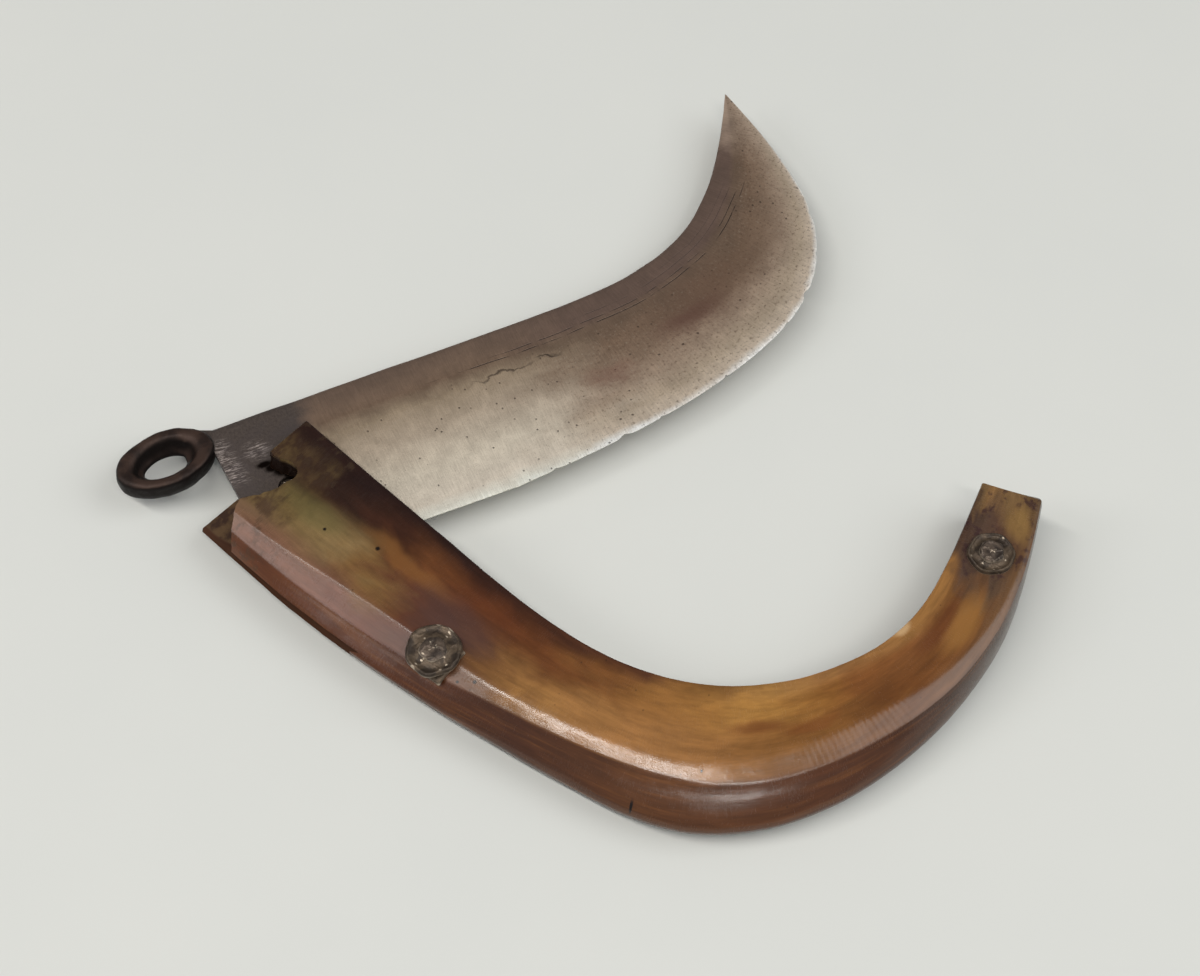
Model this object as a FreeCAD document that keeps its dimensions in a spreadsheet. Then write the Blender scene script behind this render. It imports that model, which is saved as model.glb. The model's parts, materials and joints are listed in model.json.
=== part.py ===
import FreeCAD, Part
import math
import os

import Sketcher
from FreeCAD import Vector

# A friction folder shaped like a small sickle: one piece of horn, sawn with a slot
# for the blade, a forged blade with an iron ring on its tang, and three rivets.
#
# Frame: millimetres, +Z up, the knife lying on its rivet heads at z = 0, the origin
# under the middle of its outline.  The blade is stored two thirds open.
# The horn is drawn in grip axes (along the straight grip, across it towards the
# hollow side) and the blade in blade axes (along the back, across it towards the
# back), both with their zero on the pivot.

# ---------------------------------------------------------------- dimensions
DIMENSIONS = [
    ("pivot_x", -44.50, "pivot axis from the middle of the outline, X"),
    ("pivot_y", -11.39, "pivot axis from the middle of the outline, Y"),
    ("grip_turn", -43.6, "direction of the straight grip, degrees from +X"),
    ("blade_turn", 22.9, "direction of the blade's back, degrees from +X"),
    ("head_drop", 0.4, "rivet head below a lower washer"),
    ("washer_low_thick", 0.6, "lower washers"),
    ("cheek_thick", 4.0, "horn on each side of the slot"),
    ("slot_gap", 1.9, "width of the saw slot"),
    ("butt_setback", 4.85, "pivot to the butt end of the grip"),
    ("grip_inner", 8.7, "pivot to the hollow side of the grip"),
    ("back_round", 4.6, "rounding of the back's two long edges"),
    ("blade_thick", 1.5, "blade at its back"),
    ("blade_back", 14.4, "pivot to the blade's back"),
    ("blade_edge", 13.6, "pivot to the straight start of the cutting edge"),
    ("tang_end", 7.6, "pivot to the end of the tang"),
    ("grind_deep", 0.6, "grind of the edge, taken off each face"),
    ("grind_wide", 20.0, "width of the grind"),
    ("ring_long", 17.6, "ring, outside, along the blade"),
    ("ring_wide", 12.0, "ring, outside, across the blade"),
    ("ring_bar", 3.1, "ring bar seen from above"),
    ("ring_end_bar", 4.2, "ring bar at the two ends"),
    ("ring_thick", 3.8, "ring, from face to face"),
    ("ring_round", 0.9, "rounding of the ring's edges"),
    ("neck_thick", 2.4, "neck between the tang and the ring"),
    ("ring_along", -15.7, "centre of the ring, along the blade"),
    ("ring_across", 11.5, "centre of the ring, across the blade"),
    ("pin_diam", 3.4, "pivot pin"),
    ("pin_play", 0.05, "play of the blade on the pin, on the radius"),
    ("pin_break_depth", 0.35, "broken end of the pin below the blade's upper face"),
    ("worn_hole", 4.1, "worn pivot hole of the upper cheek"),
    ("rivet_diam", 2.8, "shank of the two horn rivets"),
    ("rivet_play", 0.02, "rivet in its hole, on the radius"),
    ("stop_along", 39.0, "middle rivet, along the grip"),
    ("stop_across", -6.3, "middle rivet, across the grip"),
    ("last_along", 87.9, "end rivet, along the grip"),
    ("last_across", 63.3, "end rivet, across the grip"),
    ("square_side", 7.0, "square washer of the middle rivet"),
    ("square_thick", 0.5, "its thickness"),
    ("square_turn", 20.0, "its direction"),
    ("rosette_diam", 8.5, "round washer on the square one"),
    ("rosette_thick", 0.7, "its thickness"),
    ("cap_diam", 7.4, "upper washer of the end rivet"),
    ("cap_thick", 0.8, "its thickness"),
    ("low_washer_diam", 7.2, "lower washers"),
    ("head_diam", 4.4, "peened rivet heads"),
    ("head_rise", 0.7, "height of the upper heads"),
    ("pin_head_diam", 5.0, "peened head of the pivot pin"),
    ("rim_drop", 0.3, "fall of the rosette's rim"),
    ("cap_rim_drop", 0.4, "fall of the end washer's rim"),
]

# Shares that shape the turned profiles.
HEAD_FOOT_SHARE = 0.8
HEAD_SHOULDER = (0.85, 0.6)
HEAD_CROWN_SHARE = 0.4
WASHER_FLAT_SHARE = 0.6
BROKEN_PIN_BEVEL = (0.4, 0.3)

# Points along the curved outlines, (along, across) in millimetres.
HORN_HOLLOW = [
    (34.0, 8.7), (56.5, 10.7), (71.0, 17.1), (82.2, 30.4), (86.2, 46.2), (83.4, 59.5), (78.8, 72.5),
]
HORN_BACK = [
    (87.7, 76.7), (96.4, 58.7), (99.5, 36.0), (96.0, 17.4), (84.2, 0.6), (64.0, -6.9), (44.0, -11.2),
    (20.0, -14.3), (-4.85, -14.65),
]
SLOT_FLOOR = [
    (21.0, -16.5), (39.0, -8.9), (56.0, -2.8), (73.0, 4.3), (88.0, 18.0), (94.3, 36.0), (92.2, 55.0),
    (83.0, 78.5),
]
SLOT_MOUTH = [(60.0, 78.5), (60.0, 30.0), (-8.0, 14.0), (-8.0, -18.0)]
BROKEN_CHEEK = [
    (-8.0, -0.6), (-4.6, -0.1), (-3.2, 0.7), (-1.6, 1.3), (0.0, 0.0), (1.5, -1.4), (0.9, -3.7),
    (-2.1, -7.5), (-0.7, -9.5), (4.8, -16.0), (-8.0, -18.0),
]
BLADE_EDGE = [
    (33.0, -13.6), (53.7, -11.3), (76.4, -5.6), (91.4, 3.5), (97.9, 15.8), (98.3, 31.3), (95.9, 47.0),
]
BLADE_BACK = [(95.9, 47.0), (87.4, 32.8), (76.9, 22.0), (63.9, 16.9), (47.0, 15.4)]
RING_NECK = [(-3.5, 14.4), (-12.0, 16.4), (-10.5, 14.0), (-8.8, 9.4), (-6.6, 9.0)]

doc = FreeCAD.newDocument("folding_sickle")
sheet = doc.addObject("Spreadsheet::Sheet", "Dimensions")
for row, (alias, value, note) in enumerate(DIMENSIONS, start=1):
    sheet.set(f"A{row}", alias)
    sheet.set(f"B{row}", str(value))
    sheet.set(f"C{row}", note)
    sheet.setAlias(f"B{row}", alias)
doc.recompute()


def size(alias):
    return float(getattr(sheet, alias))


def cell(alias):
    return f"Dimensions.{alias}"


# Heights of the layers, as sums of the cells.
HORN_LOW = "Dimensions.head_drop + Dimensions.washer_low_thick"
SLOT_LOW = f"{HORN_LOW} + Dimensions.cheek_thick"
SLOT_MIDDLE = f"{SLOT_LOW} + Dimensions.slot_gap / 2"
HORN_TOP = f"{SLOT_LOW} + Dimensions.slot_gap + Dimensions.cheek_thick"
GRIP_THICK = "2 * Dimensions.cheek_thick + Dimensions.slot_gap"


# ---------------------------------------------------------------- drawing tools
def place(item, x="0", y="0", height="0", turn="0"):
    """Places a body at the pivot, moved by x, y and turned about the vertical."""
    item.Placement = FreeCAD.Placement(Vector(0, 0, 0), FreeCAD.Rotation(Vector(0, 0, 1), 10))
    item.setExpression("Placement.Base.x", f"Dimensions.pivot_x + {x}")
    item.setExpression("Placement.Base.y", f"Dimensions.pivot_y + {y}")
    item.setExpression("Placement.Base.z", height)
    item.setExpression("Placement.Rotation.Angle", turn)


def on_grip(along, across):
    """World offsets of a point given in grip axes, as two expressions."""
    turn = cell("grip_turn")
    x = f"({cell(along)} * cos({turn}) - ({cell(across)}) * sin({turn}))"
    y = f"({cell(along)} * sin({turn}) + ({cell(across)}) * cos({turn}))"
    return x, y


def new_body(label):
    body = doc.addObject("PartDesign::Body", label)
    body.Label = label
    return body


def new_sketch(body, name, role="XY_Plane", height=None):
    sketch = body.newObject("Sketcher::SketchObject", name)
    plane = next(item for item in body.Origin.OriginFeatures if item.Role == role)
    sketch.AttachmentSupport = [(plane, "")]
    sketch.MapMode = "FlatFace"
    if height:
        sketch.setExpression("AttachmentOffset.Base.z", height)
    return sketch


def line(start, end):
    return Part.LineSegment(Vector(*start, 0), Vector(*end, 0))


def curve(points):
    spline = Part.BSplineCurve()
    spline.interpolate([Vector(*point, 0) for point in points])
    return spline


def draw(sketch, pieces):
    """Adds a closed chain of lines and curves and joins each end to the next start."""
    first = sketch.GeometryCount
    for piece in pieces:
        sketch.addGeometry(piece, False)
    count = len(pieces)
    for index in range(count):
        this, following = first + index, first + (index + 1) % count
        sketch.addConstraint(Sketcher.Constraint("Coincident", this, 2, following, 1))


def polygon(points):
    return [line(points[i], points[(i + 1) % len(points)]) for i in range(len(points))]


def circle(sketch, name, diameter, along="0", across="0"):
    """A circle whose centre and diameter follow cells."""
    index = sketch.addGeometry(Part.Circle(Vector(1, 1, 0), Vector(0, 0, 1), 1), False)
    sketch.addConstraint(Sketcher.Constraint("DistanceX", -1, 1, index, 3, 1.0))
    sketch.renameConstraint(sketch.ConstraintCount - 1, f"{name}_along")
    sketch.setExpression(f"Constraints.{name}_along", along)
    sketch.addConstraint(Sketcher.Constraint("DistanceY", -1, 1, index, 3, 1.0))
    sketch.renameConstraint(sketch.ConstraintCount - 1, f"{name}_across")
    sketch.setExpression(f"Constraints.{name}_across", across)
    sketch.addConstraint(Sketcher.Constraint("Diameter", index, 2.0))
    sketch.renameConstraint(sketch.ConstraintCount - 1, f"{name}_diameter")
    sketch.setExpression(f"Constraints.{name}_diameter", diameter)


def ellipse(sketch, long_size, wide_size, along, across):
    """An ellipse whose long axis runs along the blade."""
    sketch.addGeometry(Part.Ellipse(Vector(along, across, 0), long_size / 2, wide_size / 2), False)


def pad(body, name, sketch, length, middle=False):
    feature = body.newObject("PartDesign::Pad", name)
    feature.Profile = sketch
    feature.setExpression("Length", length)
    if middle:
        feature.SideType = "Symmetric"
    doc.recompute()
    return feature


def pocket(body, name, sketch, length):
    """Cuts upwards from the sketch and makes sure that something was cut."""
    before = body.Shape.Volume
    feature = body.newObject("PartDesign::Pocket", name)
    feature.Profile = sketch
    feature.Reversed = True
    feature.setExpression("Length", length)
    doc.recompute()
    if body.Shape.Volume >= before:
        raise RuntimeError(f"{name} cut nothing")
    return feature


def edges_where(feature, test):
    return [f"Edge{i}" for i, edge in enumerate(feature.Shape.Edges, start=1) if test(edge)]


# ---------------------------------------------------------------- horn handle
def make_handle():
    """One piece of horn: a straight grip that bends up, slotted along its hollow side."""
    body = new_body("horn_handle")
    outline = new_sketch(body, "horn_outline")
    inner_butt = (-size("butt_setback"), size("grip_inner"))
    hollow = curve(HORN_HOLLOW)
    back = curve(HORN_BACK)
    draw(outline, [
        line(inner_butt, HORN_HOLLOW[0]),
        hollow,
        line(HORN_HOLLOW[-1], HORN_BACK[0]),
        back,
        line(HORN_BACK[-1], inner_butt),
    ])
    blank = pad(body, "horn_blank", outline, GRIP_THICK)
    back_length = back.length()
    rounded = body.newObject("PartDesign::Fillet", "horn_back_round")
    rounded.Base = (blank, edges_where(blank, lambda edge: abs(edge.Length - back_length) < 0.5))
    rounded.setExpression("Radius", cell("back_round"))
    doc.recompute()
    slot = new_sketch(body, "horn_slot_outline", height=cell("cheek_thick"))
    floor = curve(SLOT_FLOOR)
    corners = [SLOT_FLOOR[-1], *SLOT_MOUTH, SLOT_FLOOR[0]]
    draw(slot, [line(corners[i], corners[i + 1]) for i in range(len(corners) - 1)] + [floor])
    pocket(body, "horn_slot", slot, cell("slot_gap"))
    slot_middle = f"{cell('cheek_thick')} + {cell('slot_gap')} / 2"
    through_upper_cheek = f"{cell('cheek_thick')} + {cell('slot_gap')}"
    broken = new_sketch(body, "horn_break_outline", height=slot_middle)
    draw(broken, polygon(BROKEN_CHEEK))
    pocket(body, "horn_break", broken, through_upper_cheek)
    worn = new_sketch(body, "horn_worn_hole_outline", height=slot_middle)
    circle(worn, "worn", cell("worn_hole"))
    pocket(body, "horn_worn_hole", worn, through_upper_cheek)
    holes = new_sketch(body, "horn_holes_outline")
    rivet_hole = f"{cell('rivet_diam')} + 2 * {cell('rivet_play')}"
    circle(holes, "pivot", f"{cell('pin_diam')} + 2 * {cell('rivet_play')}")
    circle(holes, "stop", rivet_hole, cell("stop_along"), cell("stop_across"))
    circle(holes, "last", rivet_hole, cell("last_along"), cell("last_across"))
    pocket(body, "horn_holes", holes, GRIP_THICK)
    place(body, height=HORN_LOW, turn=cell("grip_turn"))
    return body


# ---------------------------------------------------------------- blade
def make_blade():
    """Blade, tang and ring, forged in one."""
    body = new_body("blade")
    outline = new_sketch(body, "blade_outline")
    edge_radius = size("blade_edge")
    tang = -size("tang_end")
    back = size("blade_back")
    heel_low = -math.sqrt(edge_radius ** 2 - tang ** 2)
    heel_angle = math.atan2(heel_low, tang)
    heel_middle = (heel_angle - math.pi / 2) / 2
    heel_round = Part.Arc(
        Vector(tang, heel_low, 0),
        Vector(edge_radius * math.cos(heel_middle), edge_radius * math.sin(heel_middle), 0),
        Vector(0, -edge_radius, 0),
    )
    edge = curve(BLADE_EDGE)
    draw(outline, [
        heel_round,
        line((0, -edge_radius), BLADE_EDGE[0]),
        edge,
        curve(BLADE_BACK),
        line(BLADE_BACK[-1], (tang, back)),
        line((tang, back), (tang, heel_low)),
    ])
    plate = pad(body, "blade_plate", outline, cell("blade_thick"), middle=True)
    edge_length = edge.length()
    grind = body.newObject("PartDesign::Chamfer", "blade_grind")
    grind.Base = (plate, edges_where(plate, lambda item: abs(item.Length - edge_length) < 0.5))
    grind.ChamferType = "Two distances"
    grind.setExpression("Size", cell("grind_deep"))
    grind.setExpression("Size2", cell("grind_wide"))
    doc.recompute()
    ring = new_sketch(body, "ring_outline")
    centre = (size("ring_along"), size("ring_across"))
    outer = (size("ring_long"), size("ring_wide"))
    inner = (outer[0] - 2 * size("ring_end_bar"), outer[1] - 2 * size("ring_bar"))
    for long_size, wide_size in (outer, inner):
        ellipse(ring, long_size, wide_size, *centre)
    hoop = pad(body, "ring", ring, cell("ring_thick"), middle=True)
    rims = edges_where(hoop, lambda item: abs(abs(item.BoundBox.Center.z) - size("ring_thick") / 2) < 0.01)
    rounded = body.newObject("PartDesign::Fillet", "ring_round")
    rounded.Base = (hoop, rims)
    rounded.setExpression("Radius", cell("ring_round"))
    doc.recompute()
    neck = new_sketch(body, "neck_outline")
    draw(neck, polygon(RING_NECK))
    pad(body, "neck", neck, cell("neck_thick"), middle=True)
    hole = new_sketch(body, "blade_hole_outline")
    circle(hole, "pivot", f"{cell('pin_diam')} + 2 * {cell('pin_play')}")
    feature = body.newObject("PartDesign::Pocket", "blade_hole")
    feature.Profile = hole
    feature.SideType = "Symmetric"
    feature.setExpression("Length", f"2 * {cell('blade_thick')}")
    doc.recompute()
    place(body, height=SLOT_MIDDLE, turn=cell("blade_turn"))
    return body


# ---------------------------------------------------------------- rivets and washers
def turned(label, height, profile, along=None, across=None):
    """A body of revolution about the vertical, from (radius, height) points.

    It stands at the point of the grip named by along and across, or at the pivot without them.
    """
    body = new_body(label)
    sketch = new_sketch(body, f"{label}_profile", role="XZ_Plane")
    draw(sketch, polygon(profile))
    feature = body.newObject("PartDesign::Revolution", f"{label}_turned")
    feature.Profile = sketch
    feature.ReferenceAxis = (sketch, ["V_Axis"])
    feature.Angle = 360.0
    doc.recompute()
    if along:
        x, y = on_grip(along, across)
        place(body, x, y, height)
    else:
        place(body, height=height)
    return body


def rivet(label, along, across, top):
    """A shank with a peened head at each end; top is the height of the upper head's foot."""
    shank = size("rivet_diam") / 2
    head = size("head_diam") / 2
    drop = size("head_drop")
    rise = size("head_rise")
    shoulder, shoulder_rise = HEAD_SHOULDER
    profile = [
        (0, 0),
        (head * HEAD_FOOT_SHARE, 0),
        (head, drop),
        (shank, drop),
        (shank, top),
        (head, top),
        (head * shoulder, top + rise * shoulder_rise),
        (head * HEAD_CROWN_SHARE, top + rise),
        (0, top + rise),
    ]
    return turned(label, "0", profile, along, across)


def washer(label, height, diameter, thick, hole, along=None, across=None, rim_drop=None):
    """A washer; the cell named by rim_drop says how far its upper face falls to the rim."""
    inner = size(hole) / 2 + size("rivet_play")
    outer = size(diameter) / 2
    depth = size(thick)
    fall = size(rim_drop) if rim_drop else 0.0
    profile = [
        (inner, 0),
        (outer, 0),
        (outer, depth - fall),
        (inner + WASHER_FLAT_SHARE * (outer - inner), depth),
        (inner, depth),
    ]
    return turned(label, height, profile, along, across)


def make_square_washer():
    body = new_body("stop_square_washer")
    sketch = new_sketch(body, "square_outline")
    half = size("square_side") / 2
    draw(sketch, polygon([(-half, -half), (half, -half), (half, half), (-half, half)]))
    circle(sketch, "bore", f"{cell('rivet_diam')} + 2 * {cell('rivet_play')}")
    pad(body, "square_plate", sketch, cell("square_thick"))
    x, y = on_grip("stop_along", "stop_across")
    place(body, x, y, HORN_TOP, cell("square_turn"))
    return body


def make_pivot_pin():
    """The pin's head is peened under the grip; its upper end is broken off inside the blade's hole."""
    shank = size("pin_diam") / 2
    head = size("pin_head_diam") / 2
    drop = size("head_drop")
    middle = drop + size("washer_low_thick") + size("cheek_thick") + size("slot_gap") / 2
    top = middle + size("blade_thick") / 2 - size("pin_break_depth")
    bevel_in, bevel_down = BROKEN_PIN_BEVEL
    profile = [
        (0, 0),
        (head * HEAD_FOOT_SHARE, 0),
        (head, drop),
        (shank, drop),
        (shank, top - bevel_down),
        (shank - bevel_in, top),
        (0, top),
    ]
    return turned("pivot_pin", "0", profile)


def height_of_top(*layers):
    """Height of the horn's top plus the named layers on it."""
    base = size("head_drop") + size("washer_low_thick") + 2 * size("cheek_thick") + size("slot_gap")
    return base + sum(size(layer) for layer in layers)


pieces = [
    make_handle(),
    make_blade(),
    make_pivot_pin(),
    washer("pivot_washer", cell("head_drop"), "low_washer_diam", "washer_low_thick", "pin_diam"),
    rivet("stop_rivet", "stop_along", "stop_across", height_of_top("square_thick", "rosette_thick")),
    make_square_washer(),
    washer("stop_rosette", f"{HORN_TOP} + {cell('square_thick')}", "rosette_diam", "rosette_thick",
           "rivet_diam", "stop_along", "stop_across", "rim_drop"),
    washer("stop_low_washer", cell("head_drop"), "low_washer_diam", "washer_low_thick", "rivet_diam",
           "stop_along", "stop_across"),
    rivet("end_rivet", "last_along", "last_across", height_of_top("cap_thick")),
    washer("end_cap_washer", HORN_TOP, "cap_diam", "cap_thick", "rivet_diam",
           "last_along", "last_across", "cap_rim_drop"),
    washer("end_low_washer", cell("head_drop"), "low_washer_diam", "washer_low_thick", "rivet_diam",
           "last_along", "last_across"),
]
doc.recompute()

# ---------------------------------------------------------------- checks and export
for item in doc.Objects:
    if "Invalid" in item.State or "Error" in item.State:
        raise RuntimeError(f"{item.Label}: {item.State}")
for piece in pieces:
    if piece.Shape.isNull() or not piece.Shape.isValid() or len(piece.Shape.Solids) != 1:
        raise RuntimeError(f"{piece.Label} is not one valid solid")

os.makedirs("parts", exist_ok=True)
whole = FreeCAD.BoundBox()
for piece in pieces:
    whole.add(piece.Shape.optimalBoundingBox(False))
    piece.Shape.exportStep(f"parts/{piece.Label}.step")
    print(f"{piece.Label}: {piece.Shape.Volume:.1f} mm3")
print(f"outline {whole.XLength:.2f} x {whole.YLength:.2f} x {whole.ZLength:.2f} mm, "
      f"middle {whole.Center.x:.3f} {whole.Center.y:.3f}, low {whole.ZMin:.3f}")
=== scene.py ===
import json
import math

import bmesh
import bpy
import numpy as np
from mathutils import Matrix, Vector, noise
from mathutils.bvhtree import BVHTree
from mathutils.kdtree import KDTree


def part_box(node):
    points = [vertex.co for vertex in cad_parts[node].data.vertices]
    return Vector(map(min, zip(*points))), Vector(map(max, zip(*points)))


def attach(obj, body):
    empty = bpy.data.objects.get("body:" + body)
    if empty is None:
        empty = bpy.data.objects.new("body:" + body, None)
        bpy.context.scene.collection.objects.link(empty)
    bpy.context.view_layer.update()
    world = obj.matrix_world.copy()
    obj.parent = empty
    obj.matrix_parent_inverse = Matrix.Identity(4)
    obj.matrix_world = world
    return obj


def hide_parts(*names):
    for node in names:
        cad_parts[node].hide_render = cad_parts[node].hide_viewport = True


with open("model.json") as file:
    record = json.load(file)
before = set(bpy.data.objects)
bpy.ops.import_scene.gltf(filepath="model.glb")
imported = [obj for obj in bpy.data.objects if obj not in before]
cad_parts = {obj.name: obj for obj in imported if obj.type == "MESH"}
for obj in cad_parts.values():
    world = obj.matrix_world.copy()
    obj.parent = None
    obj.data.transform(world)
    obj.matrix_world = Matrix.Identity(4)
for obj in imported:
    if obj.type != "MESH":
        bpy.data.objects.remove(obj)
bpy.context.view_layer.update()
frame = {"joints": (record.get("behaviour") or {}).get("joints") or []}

# Looks of a folding sickle-shaped knife: a slotted horn grip, a forged blade with an
# iron ring, and hammered rivets.  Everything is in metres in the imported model's frame.
# The horn is shaped in grip axes and the blade in blade axes, both in millimetres with
# their zero on the pivot, as in the CAD source.

MM = 0.001
PIVOT = Vector(frame["joints"][0]["pos_m"])
GRIP_TURN = math.radians(-43.6)
BLADE_TURN = math.radians(22.9)


# ---------------------------------------------------------------- heights, in millimetres
def heights(node):
    low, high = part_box(node)
    return low.z / MM, high.z / MM


HORN_LOW, HORN_TOP = heights("horn_handle")
CHEEK = 4.0
SLOT_LOW = HORN_LOW + CHEEK
SLOT_TOP = HORN_TOP - CHEEK
BLADE_MIDDLE = PIVOT.z / MM


# ---------------------------------------------------------------- outlines, (along, across) in millimetres
HORN_STRAIGHT = [(-4.85, 8.7), (34.0, 8.7)]
HORN_HOLLOW = [
    (34.0, 8.7), (56.5, 10.7), (71.0, 17.1), (82.2, 30.4), (86.2, 46.2), (83.4, 59.5), (78.8, 72.5),
]
HORN_BACK = [
    (-4.85, -14.65), (20.0, -14.3), (44.0, -11.2), (64.0, -6.9), (84.2, 0.6), (96.0, 17.4),
    (99.5, 36.0), (96.4, 58.7), (87.7, 76.7),
]
SLOT_FLOOR = [
    (21.0, -16.5), (39.0, -8.9), (56.0, -2.8), (73.0, 4.3), (88.0, 18.0), (94.3, 36.0), (92.2, 55.0),
    (83.0, 78.5),
]
SLOT_MOUTH = [(60.0, 78.5), (60.0, 30.0), (-8.0, 14.0), (-8.0, -18.0)]
BROKEN_CHEEK = [
    (-8.0, 1.05), (-6.1, 1.05), (-5.05, 0.3), (-3.75, 0.2), (-2.5, 0.6), (-1.1, 0.95), (0.15, 0.85),
    (0.8, 0.3), (1.15, -0.7), (1.1, -1.4), (0.55, -4.1), (-1.85, -8.2), (-1.05, -10.2), (4.45, -16.7),
    (-8.0, -18.5),
]
BLADE_EDGE = [
    (33.0, -13.6), (53.7, -11.3), (76.4, -5.6), (91.4, 3.5), (97.9, 15.8), (98.3, 31.3), (95.9, 47.0),
]
BLADE_BACK = [(47.0, 15.4), (63.9, 16.9), (76.9, 22.0), (87.4, 32.8), (95.9, 47.0)]
TANG_CORNER = (-9.2, 14.6)
HEEL_ALONG = -6.6
HEEL_RADIUS = 13.6


# ---------------------------------------------------------------- curves
def lengths(path):
    """The distance along a polyline at each of its points."""
    return np.concatenate([[0], np.cumsum(np.linalg.norm(np.diff(path, axis=0), axis=1))])


def natural_spline(points, count):
    """A smooth curve through the points, as count points evenly spaced along it."""
    knots = np.array(points, float)
    chord = lengths(knots)
    size = len(knots)
    matrix = np.eye(size)
    right = np.zeros((size, 2))
    for i in range(1, size - 1):
        before, after = chord[i] - chord[i - 1], chord[i + 1] - chord[i]
        matrix[i, i - 1:i + 2] = before, 2 * (before + after), after
        right[i] = 6 * ((knots[i + 1] - knots[i]) / after - (knots[i] - knots[i - 1]) / before)
    bend = np.linalg.solve(matrix, right)
    dense = np.linspace(0, chord[-1], 40 * size)
    part = np.clip(np.searchsorted(chord, dense, side="right") - 1, 0, size - 2)
    span = (chord[part + 1] - chord[part])[:, None]
    left = (dense - chord[part])[:, None]
    rest = span - left
    curve = (bend[part] * rest ** 3 + bend[part + 1] * left ** 3) / (6 * span)
    curve += (knots[part] / span - bend[part] * span / 6) * rest
    curve += (knots[part + 1] / span - bend[part + 1] * span / 6) * left
    return evenly(curve, count)


def evenly(path, count):
    """count points evenly spaced along a polyline."""
    path = np.array(path, float)
    length = lengths(path)
    at = np.linspace(0, length[-1], count)
    return np.stack([np.interp(at, length, path[:, k]) for k in range(path.shape[1])], axis=1)


def circle(count):
    """(cosine, sine) at count even steps round a circle."""
    angles = [math.tau * i / count for i in range(count)]
    return [(math.cos(angle), math.sin(angle)) for angle in angles]


STEP_BLUR = 0.035


def steps(value, table):
    """A value read from a short table of (position, value) pairs, with its corners rounded off."""
    near = value + np.linspace(-STEP_BLUR, STEP_BLUR, 7)
    return float(np.mean(np.interp(near, [row[0] for row in table], [row[1] for row in table])))


def to_row(point, turn):
    """A point in grip or blade axes and height, in millimetres, as a vector in metres."""
    along, across, height = point
    x = along * math.cos(turn) - across * math.sin(turn)
    y = along * math.sin(turn) + across * math.cos(turn)
    return Vector((PIVOT.x + x * MM, PIVOT.y + y * MM, height * MM))


def rough(x, y, z, scale, seed=0.0):
    """Smooth noise from -1 to 1, its features about scale millimetres wide."""
    return noise.noise(Vector((x / scale + seed, y / scale - seed, z / scale + 2 * seed)))


# ---------------------------------------------------------------- mesh tools
def new_piece(name, verts, faces, smooth=True):
    mesh = bpy.data.meshes.new(name)
    mesh.from_pydata([tuple(v) for v in verts], [], faces)
    mesh.validate()
    mesh.update()
    piece = bpy.data.objects.new(name, mesh)
    bpy.context.scene.collection.objects.link(piece)
    fix_normals(mesh)
    if smooth:
        mesh.polygons.foreach_set("use_smooth", [True] * len(mesh.polygons))
    return piece


def fix_normals(mesh):
    work = bmesh.new()
    work.from_mesh(mesh)
    bmesh.ops.recalc_face_normals(work, faces=work.faces)
    work.to_mesh(mesh)
    work.free()


def rings_mesh(rings, closed_ends=True):
    """Vertices and faces of a tube through rings of equal size."""
    count = len(rings[0])
    verts = [point for ring in rings for point in ring]
    faces = []
    for i in range(len(rings) - 1):
        for j in range(count):
            a, b = i * count + j, i * count + (j + 1) % count
            faces.append((a, b, b + count, a + count))
    if closed_ends:
        faces.append(tuple(range(count)))
        faces.append(tuple(reversed(range((len(rings) - 1) * count, len(rings) * count))))
    return verts, faces


THINNEST = 0.05
WOBBLE_SCALE = 1.3
LEAN_START, LEAN_WIDTH, LEAN_ALONG = -1.5, 3.0, 0.35


def prism(name, outline, low, high, wobble=0.0, layers=2, lean=0.0):
    """An upright cutter over an outline in grip axes.

    wobble roughens its walls.  lean spreads its top along the grip, and past LEAN_START also across it.
    """
    rings = []
    for level in range(layers):
        part = level / (layers - 1)
        height = low + (high - low) * part
        ring = []
        for along, across in outline:
            spread = lean * part * max(across - LEAN_START, 0.0) / LEAN_WIDTH
            shift = wobble * rough(along, across, height, WOBBLE_SCALE) + lean * part * LEAN_ALONG
            cross = wobble * rough(along, across, height, WOBBLE_SCALE, 5.0) + spread
            ring.append(to_row((along + shift, across + cross, height), GRIP_TURN))
        rings.append(ring)
    verts, faces = rings_mesh(rings)
    return new_piece(name, verts, faces, smooth=False)


def bake_modifiers(piece):
    """Replaces the piece's mesh with what its modifiers make of it."""
    graph = bpy.context.evaluated_depsgraph_get()
    mesh = bpy.data.meshes.new_from_object(piece.evaluated_get(graph))
    piece.modifiers.clear()
    piece.data = mesh


def cut(piece, cutter):
    modifier = piece.modifiers.new("cut", "BOOLEAN")
    modifier.operation = "DIFFERENCE"
    modifier.solver = "EXACT"
    modifier.object = cutter
    bpy.context.view_layer.update()
    bake_modifiers(piece)
    bpy.data.objects.remove(cutter)


def smooth_by_angle(piece, degrees):
    """Smooth shading, with edges sharper than the angle kept crisp."""
    mesh = piece.data
    mesh.polygons.foreach_set("use_smooth", [True] * len(mesh.polygons))
    mesh.set_sharp_from_angle(angle=math.radians(degrees))


def write_vector(piece, name, values):
    attribute = piece.data.attributes.new(name, "FLOAT_VECTOR", "POINT")
    attribute.data.foreach_set("vector", np.array(values, np.float32).ravel())


def points_of(piece):
    co = np.zeros(len(piece.data.vertices) * 3, np.float32)
    piece.data.vertices.foreach_get("co", co)
    return co.reshape(-1, 3).astype(float)


def to_axes(points, turn):
    """Points in metres, one to a row, as rows of (along, across, height) in millimetres."""
    x = (points[:, 0] - PIVOT.x) / MM
    y = (points[:, 1] - PIVOT.y) / MM
    along = x * math.cos(turn) + y * math.sin(turn)
    across = -x * math.sin(turn) + y * math.cos(turn)
    return np.stack([along, across, points[:, 2] / MM], axis=1)


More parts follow.
